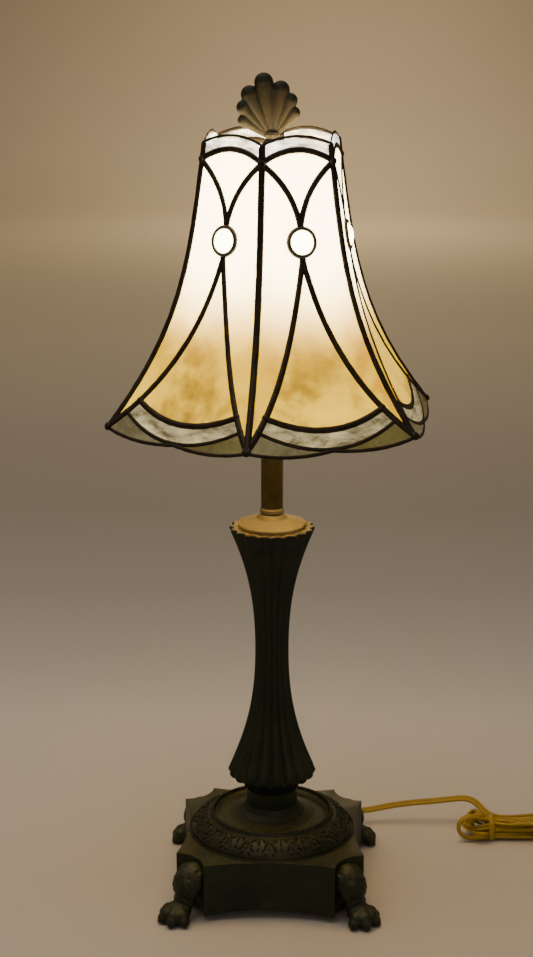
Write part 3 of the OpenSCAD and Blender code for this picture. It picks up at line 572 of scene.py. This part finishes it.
def buildTie():
    clearSelection()
    bpy.ops.mesh.primitive_torus_add(major_segments=48, minor_segments=12, major_radius=1.0, minor_radius=0.11,
                                     rotation=(0, math.pi / 2, 0))
    piece = bpy.context.object
    piece.name = "hankTie"
    applyPlace(piece)
    for vertex in piece.data.vertices:
        x, y, z = vertex.co
        turn = math.atan2(z, y)
        square = 1 / max(abs(math.cos(turn)), abs(math.sin(turn))) ** tieShape["corner"]
        band = (math.hypot(y, z) - 1) * tieShape["band"]
        reachY = tieShape["halfWidth"] * square * math.cos(turn) + band * math.cos(turn)
        reachZ = tieShape["halfHeight"] * square * math.sin(turn) + band * math.sin(turn)
        vertex.co = ((tieShape["x"] + x * tieShape["wide"]) * mm, (tieShape["y"] + reachY) * mm,
                     max(tieShape["lowest"], tieShape["z"] + reachZ) * mm)
    smoothPiece(piece, 60)
    return piece


tiePiece = buildTie()
finishPiece(tiePiece, "lamp", goldCord, ("hank_tie",))


# base

print("stage: base")


# a merged copy of a frame part with its edges softened
def softenedCopy(node, name, shape):
    clearSelection()
    piece = copyPiece(nodes[node], name)
    makeActive(piece)
    bpy.ops.object.mode_set(mode="EDIT")
    bpy.ops.mesh.select_all(action="SELECT")
    bpy.ops.mesh.remove_doubles(threshold=0.00001)
    bpy.ops.mesh.dissolve_limited(angle_limit=math.radians(shape["flat"]))
    bpy.ops.object.mode_set(mode="OBJECT")
    addModifier(piece, "BEVEL", width=shape["edge"] * mm, segments=shape["segments"], limit_method="ANGLE",
                angle_limit=math.radians(shape["sharp"]), harden_normals=False)
    smoothPiece(piece, shape["sharp"])
    return piece


plateShape = {"edge": 0.7, "segments": 3, "flat": 1.0, "sharp": 35}
basePlate = softenedCopy("base_casting", "basePlate", plateShape)
finishPiece(basePlate, "lamp", metals["bronze"], ("base_casting",))

# radius and height of the ring's outline, from its foot outward and over the top
ringShape = {"sides": 192,
             "rings": [(45.0, 47.02), (65.6, 47.02), (65.4, 47.9), (64.9, 48.3), (64.4, 47.9), (64.2, 47.2),
                       (63.4, 47.2), (63.1, 48.6), (62.5, 50.0), (61.4, 52.0), (59.4, 54.3), (57.0, 56.3),
                       (54.4, 58.0), (52.0, 59.1), (50.0, 59.6), (49.0, 59.5), (48.4, 60.0), (48.0, 61.2),
                       (47.5, 62.4), (46.6, 62.75), (45.7, 62.3), (45.2, 61.0), (45.0, 60.0)],
             "beads": 110, "beadRadius": 1.35, "beadPlace": (0, -46.6, 62.2)}
leafShape = {"sprays": 20}


def bandPoint(radius):
    outline = [(66.0, 47.0), (63.3, 48.9), (62.7, 50.0), (61.4, 52.0), (59.4, 54.3), (57.0, 56.3), (54.4, 58.0),
               (52.0, 59.1), (50.0, 59.6), (44.0, 60.0)]
    radii = [p[0] for p in outline][::-1]
    heights = [p[1] for p in outline][::-1]
    return float(np.interp(radius, radii, heights))


# one leaf lobe pressed out of a ball: pointed at its tip, with a vein down the middle
def buildLobe(radius, turn, length, width, lean):
    clearSelection()
    bpy.ops.mesh.primitive_uv_sphere_add(segments=10, ring_count=8, radius=1.0)
    lobe = bpy.context.object
    for vertex in lobe.data.vertices:
        x, y, z = vertex.co
        taper = 1 - 0.45 * max(0.0, y) - 0.1 * max(0.0, -y)
        vein = 0.35 * math.exp(-(x / 0.22) ** 2) * max(0.0, z)
        vertex.co = (x * width * taper, y * length, (z - vein) * 1.15)
    slope = (bandPoint(radius + 2) - bandPoint(radius - 2)) / 4
    place = (Matrix.Rotation(math.radians(turn), 4, "Z")
             @ Matrix.Translation((0, -radius * mm, bandPoint(radius) * mm))
             @ Matrix.Rotation(-math.atan(slope), 4, "X")
             @ Matrix.Rotation(math.radians(lean), 4, "Z")
             @ Matrix.Scale(mm, 4))
    lobe.data.transform(place)
    return lobe


def buildLeaves():
    lobes = []
    share = 360 / leafShape["sprays"]
    for lobe in ((53.8, 0.0, 3.4, 1.5, 180), (57.6, 0.0, 2.9, 1.3, 0), (55.6, 2.6, 3.3, 1.25, 32),
                 (55.6, -2.6, 3.3, 1.25, -32), (59.0, 4.3, 2.6, 1.1, 58), (59.0, -4.3, 2.6, 1.1, -58),
                 (52.8, 4.6, 2.5, 1.1, 140), (52.8, -4.6, 2.5, 1.1, -140), (58.6, 9.0, 2.2, 1.5, 0),
                 (54.2, 9.0, 3.1, 0.9, 0), (61.0, 2.6, 2.0, 1.3, 20), (61.0, -2.6, 2.0, 1.3, -20)):
        lobes.append(buildLobe(*lobe))
    spray = joinPieces(lobes, "leafSpray")
    copies = [turnPiece(copyPiece(spray, "leaf" + str(i)), share * i) for i in range(1, leafShape["sprays"])]
    return joinPieces([spray] + copies, "leafBand")


def buildBeads():
    clearSelection()
    bpy.ops.mesh.primitive_uv_sphere_add(segments=8, ring_count=6, radius=ringShape["beadRadius"] * mm,
                                         location=[c * mm for c in ringShape["beadPlace"]])
    bead = bpy.context.object
    applyPlace(bead)
    count = ringShape["beads"]
    beads = [bead] + [turnPiece(copyPiece(bead, "bead" + str(i)), 360 * i / count) for i in range(1, count)]
    return joinPieces(beads, "beadRow")


closedRings = ringShape["rings"] + ringShape["rings"][:1]
ornamentRing = latheRings("ornamentRing", ringShape["sides"], closedRings, closeEnds=False)
leaves = buildLeaves()
beads = buildBeads()
ornamentRing = joinPieces([ornamentRing, leaves, beads], "ornamentRing")
smoothPiece(ornamentRing, 50)
finishPiece(ornamentRing, "lamp", metals["ringBronze"], ("ornament_ring",))

# paw foot along +X, turned to each corner
pawShape = {"pawX": 99.0, "voxel": 0.85, "back": 80.2, "top": 44.6, "sole": 0.1, "hairFrom": 14, "hair": 0.28,
            "toeTurns": (-72, -25, 25, 72),
            # reach, height and half sizes of the balls of a toe, from its root to its claw
            "toe": ((3.4, 8.6, 6.6, 5.4, 6.8), (8.2, 6.9, 5.6, 5.5, 6.2), (11.8, 4.6, 4.3, 4.5, 4.5),
                    (14.6, 2.4, 2.0, 1.5, 1.9))}
pawBalls = [
    # x, y, z, radii x y z
    (84.5, 0, 31.0, 12.2, 13.4, 13.0), (90.0, 0, 26.5, 10.0, 12.2, 11.5), (80.0, 0, 28.0, 6.0, 12.0, 13.0),
    (92.0, 0, 16.0, 8.6, 8.8, 9.0), (97.5, 0, 9.0, 8.4, 10.6, 6.8), (84.0, 8.6, 36.0, 4.2, 3.6, 4.2),
    (84.0, -8.6, 36.0, 4.2, 3.6, 4.2), (91.5, 0, 36.0, 4.6, 4.2, 3.8), (95.6, 0, 27.0, 3.4, 4.4, 5.6),
    (93.5, 6.6, 30.5, 3.3, 3.2, 4.8), (93.5, -6.6, 30.5, 3.3, 3.2, 4.8), (93.0, 7.2, 22.0, 3.4, 2.6, 4.6),
    (93.0, -7.2, 22.0, 3.4, 2.6, 4.6), (97.5, 0, 19.5, 2.6, 3.0, 4.4),
]


def addBall(place, radii, tilt=(0, 0, 0)):
    bpy.ops.mesh.primitive_uv_sphere_add(segments=20, ring_count=12, radius=1.0, location=[c * mm for c in place],
                                         rotation=tilt, scale=[r * mm for r in radii])
    ball = bpy.context.object
    applyPlace(ball)
    return ball


def buildPaw():
    balls = [addBall((x, y, z), (rx, ry, rz)) for x, y, z, rx, ry, rz in pawBalls]
    for turn in pawShape["toeTurns"]:
        lean = math.radians(turn)
        for reach, height, long, wide, tall in pawShape["toe"]:
            place = (pawShape["pawX"] + reach * math.cos(lean), reach * math.sin(lean), height)
            balls.append(addBall(place, (long, wide, tall), (0, 0, lean)))
    paw = joinPieces(balls, "pawFoot")
    addModifier(paw, "REMESH", mode="VOXEL", voxel_size=pawShape["voxel"] * mm)
    addModifier(paw, "SMOOTH", factor=0.5, iterations=3)
    for vertex in paw.data.vertices:
        vertex.co.z = min(max(vertex.co.z, pawShape["sole"] * mm), pawShape["top"] * mm)
        vertex.co.x = max(vertex.co.x, pawShape["back"] * mm)
    # curls of hair on the knee, as shallow ridges
    for vertex in paw.data.vertices:
        x, y, z = (c / mm for c in vertex.co)
        if z > pawShape["hairFrom"]:
            ridge = pawShape["hair"] * math.sin(0.95 * z + 0.128 * y * y + 0.5 * x)
            vertex.co += vertex.normal * ridge * mm
    smoothPiece(paw, 80)
    return paw


paw = buildPaw()
for name, turn in (("front_left", -135), ("front_right", -45), ("back_left", 135), ("back_right", 45)):
    foot = turnPiece(copyPiece(paw, "pawFoot_" + name), turn)
    finishPiece(foot, "lamp", metals["bronze"], ("paw_foot_" + name,))
bpy.data.objects.remove(paw)


# column

print("stage: column")
columnShape = {"flutes": 20, "sink": 0.10, "perFlute": 12, "litTopFrom": 294.6}


def fluteShape(u):
    part = (u * columnShape["flutes"]) % 1.0
    return 1 - columnShape["sink"] * math.sin(math.pi * part) ** 0.85


def columnRings():
    rings = [(20.0, 82.0), (20.6, 84.0), (22.0, 86.0), (24.2, 87.4), (25.6, 88.4), (26.0, 89.8), (26.6, 90.6),
             (29.6, 91.3), (32.2, 92.6), (33.8, 94.6), (34.4, 96.6)]
    for i in range(1, 25):
        rings.append(tuple(curve4((34.2, 97), (20, 130), (12.9, 155), (12.9, 197), i / 24)))
    for i in range(1, 25):
        rings.append(tuple(curve4((12.9, 197), (12.9, 240), (20, 265), (32.5, 294), i / 24)))
    rings += [(32.6, 295.2), (32.2, 296.0), (29.6, 296.0), (28.4, 295.4), (26.1, 294.9), (20.0, 294.85)]
    return [(float(r), float(z)) for r, z in rings]


column = latheRings("flutedColumn", columnShape["flutes"] * columnShape["perFlute"], columnRings(), fluteShape)
smoothPiece(column, 50)
finishPiece(column, "lamp", metals["bronze"], ("fluted_column",))
# painted highlight: the faces on top of the column's rim get the lighter neck tan, where the bulb's light falls on
# them
column.data.materials.append(metals["neckTanAndLitTop"])
for face in column.data.polygons:
    if face.center.z > columnShape["litTopFrom"] * mm:
        face.material_index = 1


# shade

print("stage: shade")
shadeShape = {"turn": -6.3, "beadDepth": 1.3, "flatten": 0.6, "ribRadius": 2.5, "ribDepth": 2.2, "ribTop": 586.6,
              "ribLow": 384.6, "step": 2.4, "lump": 0.5, "past": 9, "hemTop": 0.77, "hemLow": 0.86}
# radius and height of the corner line, from the top edge down, with its two handles
bellCurve = [np.array(p) for p in ((54.0, 587.0), (66.0, 500.0), (72.0, 455.0), (130.0, 385.0))]
bell = np.array([curve4(*bellCurve, i / 12) for i in range(13)])


# a point a little past one end of the bell, straight on
def pastEnd(end, handle):
    return end + shadeShape["past"] * (end - handle) / np.linalg.norm(end - handle)


bellTopEnd = pastEnd(bell[0], bellCurve[1])
bellLowEnd = pastEnd(bell[-1], bellCurve[2])
bellLong = np.vstack([bellTopEnd, bell, bellLowEnd])[::-1]


def bellRadius(z):
    return float(np.interp(z, bellLong[:, 1], bellLong[:, 0]))


def onPanel(x, z, depth):
    return (x, -(bellRadius(z) * math.cos(math.radians(30)) - depth), z)


# the curve from below the jewel out to the corner
def longLeaf(t):
    return curve3((0, 508), (17, 423), (65.5, 385), t)


# width and points of each line on one panel, across and up
def patternLines():
    steps = [i / 24 for i in range(25)]
    lines = []
    lines.append((2.0, [curve3((-27.6, 586.8), (0, 599.4), (27.6, 586.8), t) for t in steps]))
    lines.append((4.6, [curve3((-27.5, 575), (0, 592.2), (27.5, 575), t) for t in steps]))
    left = longLeaf(shadeShape["hemTop"])
    lines.append((4.4, [curve3((-left[0], left[1]), (0, 384), left, t) for t in steps]))
    hem = longLeaf(shadeShape["hemLow"])
    lines.append((2.8, [curve3((-hem[0], hem[1]), (0, 368.4), hem, t) for t in steps]))
    for side in (1, -1):
        flip = np.array((side, 1))
        lines.append((4.8, [curve3((27.5, 575), (3, 556), (0, 528), t) * flip for t in steps]))
        lines.append((4.8, [longLeaf(i / 48) * flip for i in range(49)]))
        lines.append((2.6, [curve3((0, 381.6), (36, 377), (64.6, 385), t) * flip for t in steps]))
    return lines


def tubeFromPoints(name, points, radius, closed=False, sides=3):
    curve = bpy.data.curves.new(name, "CURVE")
    curve.dimensions = "3D"
    curve.bevel_depth = radius * mm
    curve.bevel_resolution = sides
    curve.use_fill_caps = True
    spline = curve.splines.new("POLY")
    spline.points.add(len(points) - 1)
    for i, point in enumerate(points):
        spline.points[i].co = (point[0] * mm, point[1] * mm, point[2] * mm, 1)
    spline.use_cyclic_u = closed
    piece = bpy.data.objects.new(name, curve)
    bpy.context.collection.objects.link(piece)
    makeActive(piece)
    bpy.ops.object.convert(target="MESH")
    return bpy.context.object


def lumpySolder(piece, strength, size):
    texture = bpy.data.textures.new(piece.name + "Lumps", "CLOUDS")
    texture.noise_scale = size * mm
    addModifier(piece, "DISPLACE", texture=texture, strength=strength * mm, mid_level=0.5, texture_coords="LOCAL")


def buildLeading():
    tubes = []
    for width, line in patternLines():
        route = evenPoints([onPanel(x, z, shadeShape["beadDepth"]) for x, z in line], shadeShape["step"])
        tubes.append(tubeFromPoints("leadLine", route, width / 2))
    low, hem = longLeaf(shadeShape["hemTop"]), longLeaf(shadeShape["hemLow"])
    for x, z, size in ((27.0, 575.0, 3.2), (65.0, 385.6, 2.8), (0, 531.0, 2.7), (0, 507.6, 2.8),
                       (low[0], low[1], 2.9), (hem[0], hem[1], 2.6)):
        for side in (1, -1):
            point = onPanel(side * x, z, shadeShape["beadDepth"])
            bpy.ops.mesh.primitive_uv_sphere_add(segments=14, ring_count=10, radius=size * mm,
                                                 location=[c * mm for c in point])
            blob = bpy.context.object
            applyPlace(blob)
            tubes.append(blob)
    panel = joinPieces(tubes, "leadPanel")
    for vertex in panel.data.vertices:
        middle = onPanel(0, vertex.co.z / mm, shadeShape["beadDepth"])[1] * mm
        vertex.co.y = middle + (vertex.co.y - middle) * shadeShape["flatten"]
    turnPiece(panel, shadeShape["turn"] + 30)
    leading = sixTimes(panel, "shadeLeading")
    lumpySolder(leading, shadeShape["lump"], 5)
    smoothPiece(leading, 70)
    return leading


def buildRibs():
    points = []
    for i in range(61):
        z = shadeShape["ribTop"] - (shadeShape["ribTop"] - shadeShape["ribLow"]) * i / 60
        points.append((0, -(bellRadius(z) - shadeShape["ribDepth"]), z))
    route = evenPoints(points, shadeShape["step"])
    rib = tubeFromPoints("shadeRibs", route, shadeShape["ribRadius"])
    turnPiece(rib, shadeShape["turn"])
    ribs = sixTimes(rib, "shadeRibs")
    lumpySolder(ribs, shadeShape["lump"], 7)
    smoothPiece(ribs, 70)
    return ribs


jewelShape = {"height": 519.5, "radius": 9.2, "dome": 5.2, "ring": 9.9, "ringThick": 1.75, "ringTall": 1.6,
              "sink": 1.3}


def atJewel(piece):
    z = jewelShape["height"]
    share = math.cos(math.radians(30))
    slope = (bellRadius(z - 5) - bellRadius(z + 5)) / 10 * share
    place = Matrix.Translation((0, (-share * bellRadius(z) + jewelShape["sink"]) * mm, z * mm))
    lean = Matrix.Rotation(math.radians(90) - math.atan(slope), 4, "X")
    piece.data.transform(Matrix.Rotation(math.radians(shadeShape["turn"] + 30), 4, "Z") @ place @ lean)


def sixTimes(piece, name):
    copies = [turnPiece(copyPiece(piece, name + str(k)), 60 * k) for k in range(1, 6)]
    return joinPieces([piece] + copies, name)


def buildBezels():
    clearSelection()
    bpy.ops.mesh.primitive_torus_add(major_segments=56, minor_segments=12, major_radius=jewelShape["ring"] * mm,
                                     minor_radius=jewelShape["ringThick"] * mm)
    ring = bpy.context.object
    ring.data.transform(Matrix.Diagonal((1, 1, jewelShape["ringTall"], 1)))
    atJewel(ring)
    rings = sixTimes(ring, "jewelBezels")
    lumpySolder(rings, 0.35, 4)
    smoothPiece(rings, 70)
    return rings


def buildJewels():
    clearSelection()
    bpy.ops.mesh.primitive_uv_sphere_add(segments=40, ring_count=20, radius=jewelShape["radius"] * mm)
    gem = bpy.context.object
    gem.data.transform(Matrix.Diagonal((1, 1, jewelShape["dome"] / jewelShape["radius"], 1)))
    atJewel(gem)
    gems = sixTimes(gem, "jewels")
    smoothPiece(gems, 70)
    return gems


bezels = buildBezels()
finishPiece(bezels, "shade", metals["solder"], ("jewel_bezels",))
gems = buildJewels()
finishPiece(gems, "shade", glasses["jewel"], ("jewels",))
leading = buildLeading()
finishPiece(leading, "shade", metals["solder"], ("shade_leading",))
ribs = buildRibs()
finishPiece(ribs, "shade", metals["solder"], ("shade_ribs",))


# finial

print("stage: finial")
# lobes: angle from upright, reach and tip radius
finialShape = {"base": 587.0, "top": 634.7, "lean": 8.6, "voxel": 0.5, "squeeze": 0.62,
               "lobes": [(0, 50, 7.2), (18.3, 44.2, 6.8), (-18.3, 44.2, 6.8), (33.2, 37.6, 5.8),
                         (-33.2, 37.6, 5.8), (47.6, 30.4, 4.9), (-47.6, 30.4, 4.9)],
               "knot": ((0, 0, 590.2), (3.9, 3.9, 3.2))}


# one lobe of the shell: narrow at the root, widening evenly to a broad round tip
def buildShellLobe(angle, reach, radius):
    clearSelection()
    bpy.ops.mesh.primitive_cylinder_add(vertices=28, radius=1.0, depth=1.0, location=(0, 0, 0.5))
    lobe = bpy.context.object
    applyPlace(lobe)
    stem = reach - radius
    for vertex in lobe.data.vertices:
        width = radius * (0.99 if vertex.co.z > 0.5 else 0.2)
        vertex.co = (vertex.co.x * width, vertex.co.y * width, vertex.co.z * stem)
    clearSelection()
    bpy.ops.mesh.primitive_uv_sphere_add(segments=28, ring_count=16, radius=radius, location=(0, 0, stem))
    tip = bpy.context.object
    applyPlace(tip)
    lobe = joinPieces([lobe, tip], "shellLobe")
    lobe.data.transform(Matrix.Diagonal((1, finialShape["squeeze"], 1, 1)))
    lobe.data.transform(Matrix.Rotation(math.radians(angle), 4, "Y"))
    return lobe


def buildFinial():
    lobes = [buildShellLobe(*lobe) for lobe in finialShape["lobes"]]
    piece = joinPieces(lobes, "finialShell")
    tallest = finialShape["lobes"][0][1] * math.cos(math.radians(finialShape["lean"])) + 0.1
    share = (finialShape["top"] - finialShape["base"]) / tallest
    place = (Matrix.Translation((0, 0, finialShape["base"] * mm))
             @ Matrix.Rotation(math.radians(-finialShape["lean"]), 4, "Y") @ Matrix.Scale(share * mm, 4))
    piece.data.transform(place)
    knot = addBall(*finialShape["knot"])
    piece = joinPieces([piece, knot], "finialShell")
    addModifier(piece, "REMESH", mode="VOXEL", voxel_size=finialShape["voxel"] * mm)
    addModifier(piece, "SMOOTH", factor=0.5, iterations=2)
    smoothPiece(piece, 80)
    return piece


finial = buildFinial()
finishPiece(finial, "finial", metals["finialBronze"], ("finial_shell",))


# materials on the frame's own parts

print("stage: finishes")
nodeFinishes = [
    (metals["bronze"], "neck_collar"),
    (metals["neckTanAndLitTop"], "column_cap_disc check_ring"),
    (metals["tubeTan"], "neck_tube"),
    (metals["finialBronze"], "finial_foot"),
    (metals["iron"], "ballast_weight"),
    (metals["steel"], "foot_screws rod_washer rod_nut bulb_base"),
    (metals["brass"], "threaded_rod harp_saddle harp_wire_loop harp_seat_stud harp_sleeve_left harp_sleeve_right"),
    (metals["brass"], "socket_cap socket_shell socket_screw_shell socket_centre_contact bulb_centre_contact"),
    (metals["brass"], "shade_spider plug_blades"),
    (greenFelt, "bottom_cover"),
    (fibreBoard, "socket_liner"),
    (blackPlastic, "socket_block switch_knob cord_bushing"),
    (goldCord, "cord_inner plug_body"),
    (glasses["bulb"], "bulb_globe"),
    (glasses["clearTop"], "glass_top_bands"),
    (glasses["cream"], "glass_arches glass_sides_left glass_sides_right"),
    (glasses["honey"], "glass_centres"),
    (glasses["clear"], "glass_hem_strips"),
    (glasses["cornerPale"], "glass_corners_left"),
    (glasses["cornerOlive"], "glass_corners_right"),
]
for material, names in nodeFinishes:
    for name in names.split():
        nodes[name].data.materials.clear()
        nodes[name].data.materials.append(material)


# floor, light

print("stage: floor and light")
# the paper runs far back before it rises, so that nothing stands behind the lamp; the list of stops gives the
# share of the way back and up, and the painted light and shade there: brighter just behind the lamp, a dark band
# further back, a broad painted glow where the paper bends up, darker higher up
roomShape = {"width": 9.0, "front": -4.5, "back": 4.2, "bend": 0.8, "height": 3.0,
             "wall": [(0.0, (0.96, 0.96, 0.97)), (0.035, (1.14, 1.15, 1.16)), (0.054, (0.95, 0.95, 0.95)),
                      (0.075, (0.78, 0.77, 0.75)), (0.108, (0.69, 0.67, 0.63)), (0.141, (0.79, 0.75, 0.68)),
                      (0.175, (0.96, 0.91, 0.80)), (0.23, (1.18, 1.11, 0.92)), (0.32, (1.22, 1.15, 0.96)),
                      (0.40, (1.28, 1.21, 1.05)), (0.50, (1.26, 1.19, 1.05)), (0.64, (0.98, 0.90, 0.82)),
                      (0.92, (0.60, 0.55, 0.52))]}


def buildFloor():
    clearSelection()
    depth = roomShape["back"] - roomShape["front"]
    bpy.ops.mesh.primitive_plane_add(size=1, location=(0, 0, 0))
    floor = bpy.context.object
    floor.name = "floor"
    bpy.ops.object.mode_set(mode="EDIT")
    bpy.ops.mesh.select_all(action="SELECT")
    bpy.ops.transform.resize(value=(roomShape["width"], depth, 1))
    bpy.ops.transform.translate(value=(0, (roomShape["back"] + roomShape["front"]) / 2, -0.0002))
    bpy.ops.object.mode_set(mode="OBJECT")
    applyPlace(floor)
    backEdge = roomShape["back"] - 0.001
    for edge in floor.data.edges:
        edge.select = all(floor.data.vertices[v].co.y > backEdge for v in edge.vertices)
    for face in floor.data.polygons:
        face.select = False
    for vertex in floor.data.vertices:
        vertex.select = vertex.co.y > backEdge
    bpy.ops.object.mode_set(mode="EDIT")
    for i in range(1, 17):
        before = math.radians(90 * (i - 1) / 16)
        after = math.radians(90 * i / 16)
        bend = roomShape["bend"]
        step = (0, bend * (math.sin(after) - math.sin(before)), bend * (math.cos(before) - math.cos(after)))
        bpy.ops.mesh.extrude_region_move(TRANSFORM_OT_translate={"value": step})
    bpy.ops.mesh.extrude_region_move(TRANSFORM_OT_translate={"value": (0, 0, roomShape["height"])})
    bpy.ops.object.mode_set(mode="OBJECT")
    smoothPiece(floor, 60)
    material, tree, shader = newMaterial("palePaperPaintedLight")
    place = objectPlace(tree)
    noise = addNoise(tree, place, 3.0, 3.0)
    paper = mixColours(tree, noise, rgb(0.60, 0.55, 0.48), rgb(0.64, 0.59, 0.52))
    split = addNode(tree, "ShaderNodeSeparateXYZ", {0: place}).outputs
    back = addMath(tree, "MULTIPLY", split["Y"], 0.1)
    far = addNode(tree, "ShaderNodeMath", {0: split["Z"], 1: 0.25, 2: back}, operation="MULTIPLY_ADD")
    # painted light and shade on the paper: the stops brighten and darken it by how far back and up it lies
    paintedLightRamp = addNode(tree, "ShaderNodeValToRGB", {"Fac": far.outputs[0]})
    stops = paintedLightRamp.color_ramp.elements
    for stop, (position, colour) in zip((stops[0], stops[1]), (roomShape["wall"][0], roomShape["wall"][-1])):
        stop.position = position
        stop.color = rgb(*colour)
    for position, colour in roomShape["wall"][1:-1]:
        stop = stops.new(position)
        stop.color = rgb(*colour)
    paintedLightPaper = mixColours(tree, 1.0, paper, paintedLightRamp.outputs["Color"], blend_type="MULTIPLY")
    feed(tree, shader, {"Base Color": paintedLightPaper, "Roughness": 0.75})
    floor.data.materials.append(material)
    return floor


buildFloor()


def addArea(name, place, aim, size, power, colour):
    bpy.ops.object.light_add(type="AREA", location=place)
    lamp = bpy.context.object
    lamp.name = name
    lamp.data.size = size
    lamp.data.energy = power
    lamp.data.color = colour
    lamp.rotation_euler = (Vector(aim) - Vector(place)).to_track_quat("-Z", "Y").to_euler()
    return lamp


addArea("softTop", (-0.5, -0.1, 2.4), (0, 0.2, 0.1), 2.6, 23.0, (1.0, 0.91, 0.82))
addArea("softFront", (0.9, -2.4, 1.2), (0, 0, 0.25), 1.6, 3.5, (0.98, 0.96, 1.0))


def addPoint(name, place, power, radius, colour):
    bpy.ops.object.light_add(type="POINT", location=place)
    lamp = bpy.context.object
    lamp.name = name
    lamp.data.energy = power
    lamp.data.shadow_soft_size = radius
    lamp.data.color = colour
    lamp.visible_camera = False
    return lamp


addPoint("wallPool", (0.05, 3.9, 0.8), 20.5, 0.3, (1.0, 0.78, 0.48))
addPoint("crownLight", (0, -0.014, 0.580), 0.10, 0.005, (1.0, 0.72, 0.40))
addPoint("bulbLight", (0, 0, 0.455), 2.2, 0.012, (1.0, 0.78, 0.48))
world = bpy.data.worlds.new("room")
bpy.context.scene.world = world
world.use_nodes = True
world.node_tree.nodes["Background"].inputs["Color"].default_value = rgb(0.60, 0.50, 0.38)
world.node_tree.nodes["Background"].inputs["Strength"].default_value = 0.27

clearSelection()
print("stage: done")
